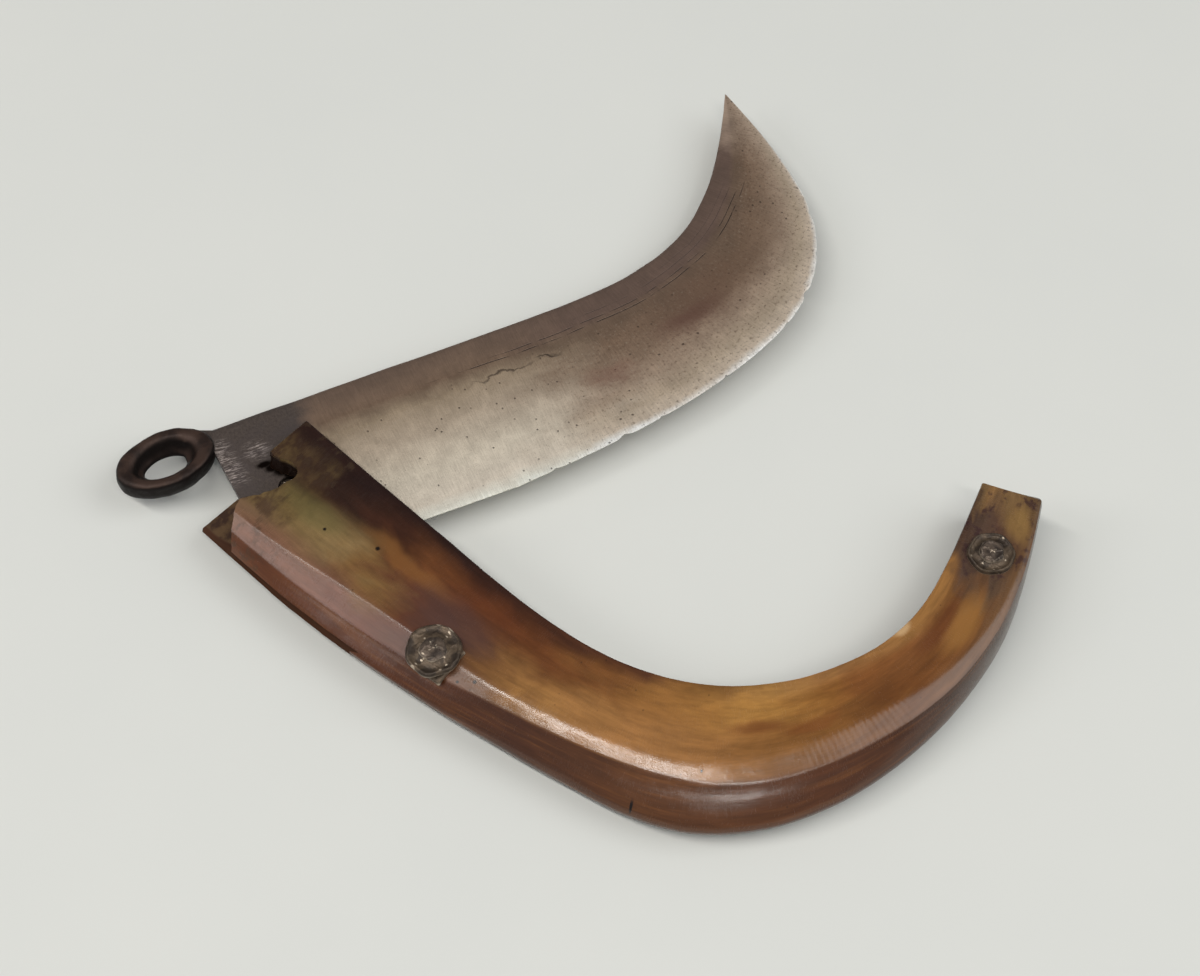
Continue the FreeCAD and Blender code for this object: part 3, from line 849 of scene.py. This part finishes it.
# ---------------------------------------------------------------- materials
class Shader:
    """A small helper that builds one node material."""

    def __init__(self, name):
        self.material = bpy.data.materials.new(name)
        self.material.use_nodes = True
        self.tree = self.material.node_tree
        self.tree.nodes.clear()
        output = self.tree.nodes.new("ShaderNodeOutputMaterial")
        self.surface = self.tree.nodes.new("ShaderNodeBsdfPrincipled")
        self.tree.links.new(self.surface.outputs[0], output.inputs["Surface"])

    def put(self, socket, value):
        if isinstance(value, bpy.types.NodeSocket):
            self.tree.links.new(value, socket)
        elif value is not None:
            socket.default_value = value

    def node(self, kind, settings=None, **inputs):
        made = self.tree.nodes.new(kind)
        for key, value in (settings or {}).items():
            setattr(made, key, value)
        for key, value in inputs.items():
            self.put(made.inputs[key.replace("_", " ")], value)
        return made

    def math(self, operation, *values, clamp=False):
        """One math node for two values, and one more for each value after them."""
        total = values[0]
        for value in values[1:] or (None,):
            made = self.node("ShaderNodeMath", {"operation": operation, "use_clamp": clamp})
            self.put(made.inputs[0], total)
            self.put(made.inputs[1], value)
            total = made.outputs[0]
        return total

    def times(self, *values):
        return self.math("MULTIPLY", *values)

    def plus(self, *values, clamp=False):
        return self.math("ADD", *values, clamp=clamp)

    def less(self, first, second, clamp=False):
        return self.math("SUBTRACT", first, second, clamp=clamp)

    def most(self, *values):
        return self.math("MAXIMUM", *values)

    def attribute(self, name):
        return self.node("ShaderNodeAttribute", {"attribute_name": name}).outputs["Vector"]

    def split(self, vector):
        made = self.node("ShaderNodeSeparateXYZ")
        self.put(made.inputs[0], vector)
        return made.outputs

    def stretch(self, vector, scale, shift=(0, 0, 0)):
        made = self.node("ShaderNodeMapping")
        self.put(made.inputs["Vector"], vector)
        made.inputs["Scale"].default_value = scale
        made.inputs["Location"].default_value = shift
        return made.outputs[0]

    def noise(self, vector, scale, detail=4.0, roughness=0.55, distortion=0.0):
        made = self.node("ShaderNodeTexNoise", Vector=vector, Scale=scale, Detail=detail,
                         Roughness=roughness, Distortion=distortion)
        return made.outputs[0]

    def pattern(self, vector, per_unit, detail=4.0, roughness=0.55, distortion=0.0, shift=(0, 0, 0)):
        """Noise on stretched coordinates: per_unit is its fineness along each of them."""
        return self.noise(self.stretch(vector, per_unit, shift), 1.0, detail, roughness, distortion)

    def cells(self, vector, per_unit):
        """The distance to the nearest of many scattered points, on stretched coordinates."""
        place = self.stretch(vector, per_unit)
        return self.node("ShaderNodeTexVoronoi", Vector=place, Scale=1.0).outputs["Distance"]

    def ease(self, value, low, high, to_low=0.0, to_high=1.0):
        """A smooth step of a value between low and high, from to_low to to_high."""
        made = self.node("ShaderNodeMapRange", {"interpolation_type": "SMOOTHSTEP"}, Value=value,
                         From_Min=low, From_Max=high, To_Min=to_low, To_Max=to_high)
        return made.outputs[0]

    def mix(self, share, first, second):
        made = self.node("ShaderNodeMix", {"data_type": "RGBA"})
        self.put(made.inputs[0], share)
        for socket, tint in ((6, first), (7, second)):
            fixed = isinstance(tint, tuple)
            self.put(made.inputs[socket], colour(tint) if fixed else tint)
        return made.outputs[2]

    def ramp(self, value, stops):
        """Colours along a value from 0 to 1: stops are (position, colour)."""
        made = self.node("ShaderNodeValToRGB")
        self.put(made.inputs[0], value)
        elements = made.color_ramp.elements
        while len(elements) < len(stops):
            elements.new(0.5)
        for element, (position, rgb) in zip(elements, sorted(stops)):
            element.position = position
            element.color = colour(rgb)
        return made.outputs[0]

    def centred(self, value, size):
        """A 0 to 1 noise as a shift from -size to size about its middle."""
        return self.times(self.less(value, 0.5), 2 * size)

    def shade(self, tint, value, low, high, dark, light):
        """Darkens and lightens a colour by a noise."""
        share = self.ease(value, low, high, dark, light)
        made = self.node("ShaderNodeVectorMath", {"operation": "SCALE"}, Scale=share)
        self.put(made.inputs[0], tint)
        return made.outputs[0]

    def bump(self, height, strength, distance, normal=None):
        made = self.node("ShaderNodeBump", Height=height, Strength=strength, Distance=distance)
        if normal is not None:
            self.put(made.inputs["Normal"], normal)
        return made.outputs[0]

    def spot(self, along, across, centre, size, edge):
        """1 inside an ellipse on two coordinates, easing to 0 over edge shares of its size."""
        u = self.math("DIVIDE", self.less(along, centre[0]), size[0])
        v = self.math("DIVIDE", self.less(across, centre[1]), size[1])
        far = self.math("SQRT", self.plus(self.times(u, u), self.times(v, v)))
        return self.ease(far, 1 - edge, 1 + edge, 1.0, 0.0)

    def finish(self, colour_value, roughness, normal, **fixed):
        self.put(self.surface.inputs["Base Color"], colour_value)
        self.put(self.surface.inputs["Roughness"], roughness)
        self.put(self.surface.inputs["Normal"], normal)
        for key, value in fixed.items():
            self.surface.inputs[key.replace("_", " ")].default_value = value
        return self.material


def colour(rgb):
    """An sRGB colour given as three numbers up to 255, as linear RGBA."""
    linear = [((c / 255 + 0.055) / 1.055) ** 2.4 if c > 10 else c / 255 / 12.92 for c in rgb[:3]]
    return (*linear, 1.0)


# The length of the grip's back, in millimetres.
HORN_RUN = 172.7
# Colours along the horn, from the butt (0) to the end (1): four bands from the hollow edge to the back, and
# the side.
HORN_HOLLOW_EDGE = [
    (0.0, (38, 21, 16)), (0.12, (32, 16, 12)), (0.22, (40, 21, 15)), (0.34, (64, 36, 22)),
    (0.46, (86, 52, 33)), (0.53, (120, 82, 42)), (0.6, (156, 114, 62)), (0.7, (140, 98, 58)),
    (0.8, (144, 102, 56)), (0.88, (146, 103, 56)), (0.915, (82, 60, 44)), (0.96, (58, 40, 34)),
    (1.0, (108, 84, 54)),
]
HORN_INNER = [
    (0.0, (44, 27, 20)), (0.08, (42, 24, 16)), (0.14, (56, 31, 20)), (0.2, (98, 58, 30)),
    (0.26, (86, 46, 24)), (0.33, (96, 55, 28)), (0.4, (112, 72, 36)), (0.5, (142, 98, 50)),
    (0.58, (160, 115, 58)), (0.66, (130, 86, 40)), (0.72, (118, 73, 36)), (0.8, (114, 72, 38)),
    (0.87, (110, 73, 38)), (0.915, (80, 60, 48)), (0.96, (74, 56, 44)), (1.0, (126, 94, 58)),
]
HORN_MIDDLE = [
    (0.0, (84, 72, 52)), (0.06, (98, 80, 46)), (0.11, (124, 101, 66)), (0.15, (116, 86, 50)),
    (0.2, (88, 52, 34)), (0.25, (78, 54, 45)), (0.3, (104, 70, 40)), (0.36, (146, 104, 58)),
    (0.45, (150, 105, 60)), (0.55, (142, 98, 54)), (0.65, (118, 78, 38)), (0.75, (102, 62, 30)),
    (0.85, (110, 69, 34)), (0.915, (82, 63, 48)), (0.96, (82, 57, 44)), (1.0, (112, 86, 55)),
]
HORN_BACK_BAND = [
    (0.0, (112, 80, 62)), (0.1, (116, 80, 64)), (0.2, (108, 70, 56)), (0.3, (98, 66, 44)),
    (0.45, (124, 84, 50)), (0.6, (122, 82, 50)), (0.75, (108, 72, 44)), (0.88, (106, 74, 46)),
    (1.0, (98, 74, 48)),
]
HORN_SIDE = [
    (0.0, (84, 46, 26)), (0.10, (88, 48, 24)), (0.35, (66, 37, 22)), (0.5, (84, 50, 26)),
    (0.65, (78, 44, 24)), (0.8, (62, 38, 24)), (1.0, (66, 46, 30)),
]


# Patches on the horn: (along, share in from the back), half sizes, colour and strength. The pale one on the hollow
# edge at 138 mm is a painted highlight of light shining through the thin horn.
HORN_SPOTS = [
    ((14.0, 0.56), (6.0, 0.10), (92, 86, 50), 0.5),
    ((31.0, 0.66), (8.0, 0.06), (124, 82, 42), 0.6),
    ((43.0, 0.54), (8.0, 0.16), (80, 54, 48), 0.5),
    ((102.0, 0.64), (5.0, 0.06), (104, 56, 28), 0.55),
    ((112.0, 0.58), (5.0, 0.06), (112, 60, 28), 0.45),
    ((147.0, 0.46), (6.0, 0.15), (152, 108, 56), 0.6),
    ((144.0, 0.70), (7.0, 0.09), (92, 48, 24), 0.6),
    ((168.0, 0.30), (3.0, 0.16), (140, 108, 60), 0.6),
    # painted highlight: light shining through the thin hollow edge
    ((138.0, 1.03), (2.2, 0.05), (214, 182, 138), 0.5),
    ((6.0, 0.30), (5.0, 0.10), (118, 92, 70), 0.4),
]
# Small holes in the horn, on the same coordinates, and their half sizes.
HORN_PITS = [
    ((25.6, 0.63), (0.34, 0.015)), ((17.2, 0.50), (0.26, 0.011)), ((92.0, 0.35), (0.2, 0.01)),
    ((50.0, 0.20), (0.24, 0.010)), ((52.3, 0.26), (0.30, 0.013)),
]
# The short crack on the back of the bend: (along, height) and half sizes.
HORN_CRACK = (82.0, 6.6), (0.22, 1.2)
# The height below which the wall of the hollow side darkens.
HOLLOW_WALL_TOP = 10.6


def horn_colour(s, grain, side, under):
    """The horn's colour: four bands along the grip, streaks, patches and pits, with painted shade on the underside
    and a painted highlight on the hollow edge.
    """
    along, inward, height = s.split(grain)
    across = s.plus(inward, s.centred(s.pattern(grain, (0.055, 1.6, 0.1), 3.0, 0.5, 0.5), 0.17))
    wander = s.pattern(grain, (0.09, 3.4, 0.1), 3.0, 0.55, 0.6, (7, 3, 0))
    drift = s.math("DIVIDE", s.plus(along, s.centred(wander, 13.0)), HORN_RUN)
    base = s.mix(s.ease(across, 0.12, 0.40), s.ramp(drift, HORN_BACK_BAND), s.ramp(drift, HORN_MIDDLE))
    base = s.mix(s.ease(across, 0.50, 0.76), base, s.ramp(drift, HORN_INNER))
    base = s.mix(s.ease(across, 0.80, 0.95), base, s.ramp(drift, HORN_HOLLOW_EDGE))
    base = s.mix(side, base, s.ramp(drift, HORN_SIDE))
    side_streak = s.pattern(grain, (0.05, 1.0, 1.5), 4.0, 0.6)
    base = s.mix(s.times(side, s.ease(side_streak, 0.48, 0.72, 0.0, 0.5)), base, (116, 72, 36))
    # painted shade: the underside below the widest line is darkened and greyed where it turns away from the lamps
    base = s.mix(s.times(under, 0.8), base, (58, 42, 32))
    hollow_wall = s.times(s.ease(inward, 0.97, 0.995), s.ease(height, HOLLOW_WALL_TOP, HOLLOW_WALL_TOP - 0.6))
    base = s.mix(s.times(hollow_wall, 0.55), base, (74, 46, 28))

    base = s.shade(base, s.pattern(grain, (0.10, 11.0, 1.4), 6.0, 0.62, 0.3), 0.3, 0.7, 0.82, 1.15)
    fibres = s.pattern(grain, (0.35, 60.0, 6.0), 5.0, 0.65)
    base = s.shade(base, fibres, 0.3, 0.7, 0.92, 1.07)
    mottle = s.pattern(grain, (0.55, 8.0, 0.6), 4.0, 0.6, shift=(3, 1, 0))
    end_mottle = s.times(s.ease(drift, 0.90, 0.925), s.ease(mottle, 0.5, 0.66, 0.0, 0.75))
    base = s.mix(end_mottle, base, (52, 32, 34))
    butt_mottle = s.times(s.ease(drift, 0.1, 0.05), s.ease(mottle, 0.52, 0.66, 0.0, 0.6))
    base = s.mix(butt_mottle, base, (62, 48, 34))
    for centre, size, tint, share in HORN_SPOTS:
        base = s.mix(s.times(s.spot(along, across, centre, size, 0.55), share), base, tint)
    for centre, size in HORN_PITS:
        base = s.mix(s.spot(along, inward, centre, size, 0.5), base, (22, 14, 10))
    pits = s.cells(grain, (0.33, 7.0, 0.3))
    return s.mix(s.ease(pits, 0.07, 0.04, 0.0, 0.45), base, (30, 18, 12)), drift, fibres, mottle


def horn_material():
    s = Shader("polished_horn")
    grain = s.attribute("grain")
    along, inward, height = s.split(grain)
    above_foot, inside_crease, above_widest = s.split(s.attribute("fold"))
    side = s.times(s.ease(above_foot, 0.10, -0.30), s.ease(inward, 0.45, 0.3))
    # under: the underside below the widest line, which carries painted shade
    under = s.ease(above_widest, -0.1, -1.7)
    base, drift, fibres, mottle = horn_colour(s, grain, side, under)

    broken = s.times(s.ease(height, HORN_TOP - 0.10, HORN_TOP - 0.3), s.ease(along, 13.0, 11.5),
                     s.ease(inward, 0.27, 0.33), s.ease(inward, 0.95, 0.90))
    base = s.mix(broken, base, s.mix(s.ease(mottle, 0.36, 0.62), (104, 84, 52), (60, 42, 28)))
    # painted shadow: below its rim, the broken cheek's wall is darkened nearly to black, the shade under the break
    deep = s.times(broken, s.ease(height, HORN_TOP - 0.5, HORN_TOP - 1.3), s.ease(inward, 0.45, 0.50))
    base = s.mix(deep, base, (26, 15, 10))
    crack = s.times(s.spot(along, height, *HORN_CRACK, 0.4), s.ease(inward, 0.1, 0.05))
    base = s.mix(crack, base, (20, 12, 9))
    past_floor = s.less(inward, s.ease(along, 26.0, 38.0, 0.045, 0.15))
    inside = s.times(s.ease(height, SLOT_LOW - 0.04, SLOT_LOW - 0.01),
                     s.ease(height, SLOT_TOP + 0.04, SLOT_TOP + 0.01), s.ease(past_floor, 0.0, 0.025))
    sawn = s.mix(s.ease(mottle, 0.38, 0.62), (90, 70, 50), (58, 42, 34))
    # painted shade: past about 13 mm along, the sawn faces inside the slot darken nearly to black, the shade
    # between the cheeks
    base = s.mix(inside, base, s.mix(s.ease(along, 10.0, 13.0), sawn, (26, 17, 12)))

    scratch = s.pattern(grain, (2.6, 16.0, 1.0), 6.0, 0.75, 0.8)
    smudge = s.pattern(grain, (0.12, 3.0, 0.4), 3.0, shift=(1, 5, 0))
    facet = s.less(s.ease(inside_crease, 0.3, -0.3), side, clamp=True)
    roughness = s.plus(s.ease(scratch, 0.4, 0.75, 0.17, 0.30), s.ease(smudge, 0.35, 0.7, 0.0, 0.08),
                       s.times(facet, s.ease(drift, 0.27, 0.33, 0.10, -0.06)),
                       s.times(inside, 0.35), s.times(under, 0.25))
    filed = s.pattern(grain, (3.4, 1.2, 0.5), 3.0, 0.7, 1.5, (0, 9, 0))
    filed_zone = s.times(facet, s.ease(drift, 0.30, 0.25, 0.25, 1.0))
    normal = s.bump(s.times(filed, filed_zone), 0.35, 0.00010, s.bump(fibres, 0.16, 0.00005))
    dull = s.times(s.most(under, inside, deep), 0.4)
    s.put(s.surface.inputs["Specular IOR Level"], s.less(0.5, dull))
    return s.finish(base, roughness, s.bump(scratch, 0.22, 0.00007, normal), IOR=1.5)


# Colours across the blade, from its back (0) to its edge (1): its pitted body, and the part by the grip.
STEEL_BODY = [
    (0.0, (96, 78, 68)), (0.17, (100, 81, 71)), (0.24, (116, 96, 80)), (0.4, (130, 107, 88)),
    (0.55, (148, 125, 105)), (0.7, (171, 149, 129)), (0.86, (189, 171, 149)), (0.95, (214, 197, 177)),
    (1.0, (246, 246, 242)),
]
STEEL_BRIGHT = [
    (0.0, (100, 82, 70)), (0.2, (116, 95, 78)), (0.30, (164, 145, 122)), (0.48, (194, 177, 156)),
    (0.72, (225, 213, 193)), (0.9, (233, 221, 203)), (1.0, (246, 246, 233)),
]
# Stains on the blade: (along, millimetres from the back), half sizes, colour and strength.
STEEL_STAINS = [
    ((76.0, 13.0), (4.5, 2.0), (92, 56, 50), 0.6), ((79.0, 11.0), (7.0, 4.0), (108, 80, 66), 0.4),
    ((62.0, 15.5), (3.0, 1.5), (120, 78, 66), 0.4), ((88.0, 12.0), (8.0, 3.0), (104, 80, 62), 0.35),
    ((55.5, 8.3), (1.6, 0.35), (40, 30, 26), 0.8), ((47.5, 8.9), (4.5, 0.28), (48, 37, 32), 0.75),
]
# The shadowed hollow in the tang beside the broken cheek, painted near-black as shade: centre and half size on the
# same axes.
CREVICE_SHADOW = [
    ((6.2, 9.5), (1.3, 0.6)), ((7.3, 10.5), (1.4, 0.85)), ((8.4, 11.5), (1.5, 1.1)),
    ((9.6, 12.5), (1.6, 1.2)),
]
# Fine lines left by forging, along the back: (millimetres from the back, half width, start, strength).
FORGE_LINES = [
    (3.4, 0.10, 58.0, 0.45), (4.7, 0.12, 44.0, 0.75), (5.6, 0.13, 34.0, 0.85), (2.3, 0.08, 70.0, 0.35),
]


def forge_lines(s, steel, along, deep):
    """How strongly each place of the blade is marked by the fine lines along its back."""
    wave = s.centred(s.pattern(steel, (0.045, 0.0, 0.0), 2.0), 0.9)
    lines = []
    for place, wide, first, strength in FORGE_LINES:
        gap = s.math("ABSOLUTE", s.less(s.plus(deep, wave), place))
        broken = s.ease(s.pattern(steel, (0.25, 0.5, 0.0), 3.0, shift=(place, 0, 0)), 0.40, 0.52)
        start, end = s.ease(along, first, first + 8.0), s.ease(along, 104.0, 96.0, 0.0, strength)
        lines.append(s.times(s.ease(gap, wide, wide * 0.35), broken, start, end))
    return s.most(*lines)


def steel_material():
    s = Shader("worn_forged_steel")
    steel = s.attribute("steel")
    along, deep, share = s.split(steel)
    cloud = s.pattern(steel, (0.08, 0.14, 0.0), 5.0, 0.6, 0.4)
    patch = s.pattern(steel, (0.22, 0.26, 0.0), 5.0, 0.62, 0.3, (5, 2, 0))
    speck = s.pattern(steel, (2.3, 1.9, 0.0), 6.0, 0.72)
    grit = s.pattern(steel, (6.0, 4.6, 0.0), 4.0, 0.7)
    brush = s.pattern(steel, (5.0, 0.30, 0.0), 4.0, 0.65, 0.2)
    blotches = s.cells(steel, (0.62, 0.52, 0.0))
    crossing = s.plus(s.plus(share, s.centred(patch, 0.04)), s.centred(cloud, 0.04), clamp=True)
    bright = s.ease(s.plus(along, s.centred(cloud, 14.0)), 42.0, 66.0, 1.0, 0.0)
    base = s.mix(bright, s.ramp(crossing, STEEL_BODY), s.ramp(crossing, STEEL_BRIGHT))
    tip = s.ease(s.plus(along, s.centred(patch, 5.0)), 104.0, 114.0)
    base = s.mix(s.times(tip, 0.6), base, (188, 166, 146))
    base = s.shade(base, patch, 0.3, 0.7, 0.90, 1.08)
    base = s.shade(base, brush, 0.3, 0.7, 0.88, 1.10)

    body = s.ease(share, 0.18, 0.34)
    pitted = s.times(body, s.ease(s.plus(along, s.centred(cloud, 20.0)), 40.0, 72.0, 0.35, 1.0))
    base = s.mix(s.times(pitted, s.ease(speck, 0.52, 0.66, 0.0, 0.70)), base, (84, 66, 52))
    base = s.mix(s.times(body, s.ease(speck, 0.44, 0.34, 0.0, 0.35)), base, (190, 178, 160))
    base = s.mix(s.times(pitted, s.ease(grit, 0.60, 0.72, 0.0, 0.6)), base, (56, 44, 36))
    base = s.mix(s.times(body, s.ease(blotches, 0.13, 0.06, 0.0, 0.75)), base, (46, 36, 30))
    lines = forge_lines(s, steel, along, deep)
    base = s.mix(lines, base, (40, 31, 27))

    tang = s.ease(s.plus(along, s.plus(s.centred(patch, 2.5), s.times(share, 1.5))), 18.5, 13.5)
    tang_tint = s.mix(s.ease(speck, 0.36, 0.68), (80, 70, 64), (62, 53, 48))
    base = s.mix(tang, base, s.mix(s.ease(cloud, 0.4, 0.6, 0.0, 0.5), tang_tint, (70, 62, 62)))
    slant = s.less(along, s.times(deep, 0.10))
    filed_zone = s.times(s.ease(slant, 3.2, 0.4), s.ease(deep, 1.8, 3.0), s.ease(deep, 12.5, 9.5))
    filed_zone = s.most(filed_zone, s.spot(slant, deep, (5.6, 6.6), (1.9, 1.5), 0.7))
    filing = s.pattern(steel, (0.55, 3.2, 0.0), 5.0, 0.75, 0.3, (2, 0, 0))
    base = s.mix(s.times(filed_zone, s.ease(filing, 0.46, 0.70, 0.0, 0.8)), base, (206, 192, 184))
    for centre, size, tint, strength in STEEL_STAINS:
        stain = s.spot(along, s.plus(deep, s.centred(patch, 3.0)), centre, size, 0.8)
        base = s.mix(s.times(stain, strength), base, tint)
    ragged = s.plus(along, s.centred(speck, 0.5))
    # painted shadow: the hollow in the tang beside the broken cheek is darkened nearly to black
    crevice_shadow = s.most(*[s.spot(ragged, deep, centre, size, 0.4) for centre, size in CREVICE_SHADOW])
    base = s.mix(crevice_shadow, base, (14, 8, 6))
    ring = s.ease(along, 0.1, -0.7)
    # painted shade: the ring's faces that turn from straight up towards level are darkened nearly to black
    facing_for_shade = s.split(s.node("ShaderNodeNewGeometry").outputs["Normal"])[2]
    ring_top = s.mix(s.ease(patch, 0.4, 0.62), (62, 47, 40), (40, 30, 26))
    base = s.mix(ring, base, s.mix(s.ease(facing_for_shade, 0.88, 0.45), ring_top, (20, 14, 12)))

    dark = s.most(s.ease(share, 0.26, 0.14), tang, ring)
    roughness = s.plus(s.ease(speck, 0.3, 0.8, 0.34, 0.52), s.times(dark, 0.08))
    s.put(s.surface.inputs["Metallic"], s.less(0.5, s.times(dark, 0.2)))
    rough_skin = s.plus(s.times(grit, 0.6), s.times(speck, 1.4))
    pit = s.less(rough_skin, s.times(s.ease(blotches, 0.16, 0.05), 0.8))
    normal = s.bump(s.times(lines, -1.0), 0.6, 0.00010, s.bump(pit, 0.30, 0.00010))
    dull = s.most(s.times(ring, 0.3), s.times(crevice_shadow, 0.48))
    s.put(s.surface.inputs["Specular IOR Level"], s.less(0.5, dull))
    return s.finish(base, roughness, normal)


def object_place(s, shift=(0, 0, 0)):
    """The place on a piece in millimetres."""
    return s.stretch(s.node("ShaderNodeTexCoord").outputs["Object"], (1 / MM, 1 / MM, 1 / MM), shift)


def iron_material(name, light, dark, rust, seed):
    s = Shader(name)
    place = object_place(s, (seed, 0, 0))
    patch = s.noise(place, 0.45, 5.0, 0.6, 0.5)
    fine = s.noise(place, 2.6, 5.0, 0.7)
    base = s.mix(s.ease(patch, 0.38, 0.64), dark, light)
    base = s.mix(s.ease(fine, 0.55, 0.75, 0.0, 0.5), base, rust)
    # lighter on sharp ridges and near-black in hollows, by the mesh's pointiness
    edge_sharpness = s.node("ShaderNodeNewGeometry").outputs["Pointiness"]
    base = s.mix(s.ease(edge_sharpness, 0.53, 0.60, 0.0, 0.75), base, (206, 190, 168))
    base = s.mix(s.ease(edge_sharpness, 0.48, 0.43, 0.0, 0.9), base, (20, 15, 12))
    roughness = s.ease(fine, 0.3, 0.75, 0.38, 0.62)
    return s.finish(base, roughness, s.bump(s.plus(fine, patch), 0.4, 0.00016), Metallic=0.5)


def paint(pieces, material):
    for piece in pieces:
        piece.data.materials.clear()
        piece.data.materials.append(material)


# ---------------------------------------------------------------- stage
# Where the camera looks, how far it looks down, and its distance in metres.
TARGET = Vector((0.00384, -0.00766, 0.0))
CAMERA_TILT = math.radians(58.0)
CAMERA_FAR = 0.38095
LENS, SENSOR = 72.0, 36.0
FLOOR_HALF = 6.0
# Direction of the darker part of the studio, which the flat of the grip mirrors towards the camera.
DARK_CEILING = (0.0, 0.55, 0.835)
# Each lamp's place, size, length across (for a rectangle), power and tint.  All look at the object.
LAMPS = {
    "ceiling_strip": ((-0.22, -0.36, 1.10), 1.5, 0.08, 10.0, (1.0, 0.97, 0.93)),
    "left_window": ((-1.05, -0.26, 0.80), 0.34, 0.5, 2.5, (1.0, 0.96, 0.97)),
    "right_soft": ((0.85, -0.12, 0.95), 0.9, None, 5.4, (0.98, 0.99, 1.0)),
}


def aim(item, target):
    item.rotation_euler = (target - item.location).to_track_quat("-Z", "Y").to_euler()


def make_camera():
    camera = bpy.data.objects.new("camera", bpy.data.cameras.new("camera"))
    bpy.context.scene.collection.objects.link(camera)
    camera.location = TARGET + CAMERA_FAR * Vector((0, -math.cos(CAMERA_TILT), math.sin(CAMERA_TILT)))
    aim(camera, TARGET)
    camera.data.lens = LENS
    camera.data.sensor_width = SENSOR
    camera.data.clip_start = 0.01
    bpy.context.scene.camera = camera


def make_floor():
    half = FLOOR_HALF
    corners = [(-half, -half, 0), (half, -half, 0), (half, half, 0), (-half, half, 0)]
    floor = new_piece("floor", corners, [(0, 1, 2, 3)], smooth=False)
    s = Shader("pale_board")
    place = object_place(s)
    base = s.mix(s.noise(place, 0.02, 3.0), (206, 208, 204), (212, 213, 208))
    grain = s.bump(s.noise(place, 1.5, 3.0), 0.03, 0.00005)
    paint([floor], s.finish(base, 0.85, grain, Specular_IOR_Level=0.2))


def make_lamp(name, place, size, size_y, power, tint):
    data = bpy.data.lights.new(name, "AREA")
    data.energy = power
    data.size = size
    data.color = tint
    if size_y:
        data.shape = "RECTANGLE"
        data.size_y = size_y
    lamp = bpy.data.objects.new(name, data)
    bpy.context.scene.collection.objects.link(lamp)
    lamp.location = place
    aim(lamp, Vector((0, 0, 0)))


def make_studio():
    """Soft light from all round, weaker from the dark part of the ceiling."""
    world = bpy.data.worlds.new("studio")
    world.use_nodes = True
    nodes, links = world.node_tree.nodes, world.node_tree.links
    background = nodes["Background"]
    background.inputs["Color"].default_value = (0.94, 0.97, 1.0, 1.0)
    toward_dark = nodes.new("ShaderNodeVectorMath")
    toward_dark.operation = "DOT_PRODUCT"
    toward_dark.inputs[1].default_value = DARK_CEILING
    links.new(nodes.new("ShaderNodeTexCoord").outputs["Generated"], toward_dark.inputs[0])
    strength = nodes.new("ShaderNodeMapRange")
    strength.interpolation_type = "SMOOTHSTEP"
    for name, value in (("From Min", 0.72), ("From Max", 0.95), ("To Min", 0.32), ("To Max", 0.12)):
        strength.inputs[name].default_value = value
    links.new(toward_dark.outputs["Value"], strength.inputs["Value"])
    links.new(strength.outputs["Result"], background.inputs["Strength"])
    bpy.context.scene.world = world


# ---------------------------------------------------------------- build
make_camera()
horn, blank_tree = make_horn()
blade, ring = make_blade()
fasteners = make_fasteners(blank_tree)

paint([horn], horn_material())
paint([blade, ring], steel_material())
washer_look = iron_material("beaten_washer", (96, 81, 65), (54, 44, 35), (78, 60, 44), 3.0)
rivet_look = iron_material("beaten_rivet", (100, 86, 74), (54, 45, 39), (78, 60, 48), 9.0)
for piece in fasteners:
    paint([piece], rivet_look if "rivet" in piece.name or "pin" in piece.name else washer_look)

make_floor()
make_studio()
for name, settings in LAMPS.items():
    make_lamp(name, *settings)
bpy.context.scene.view_settings.view_transform = "Standard"
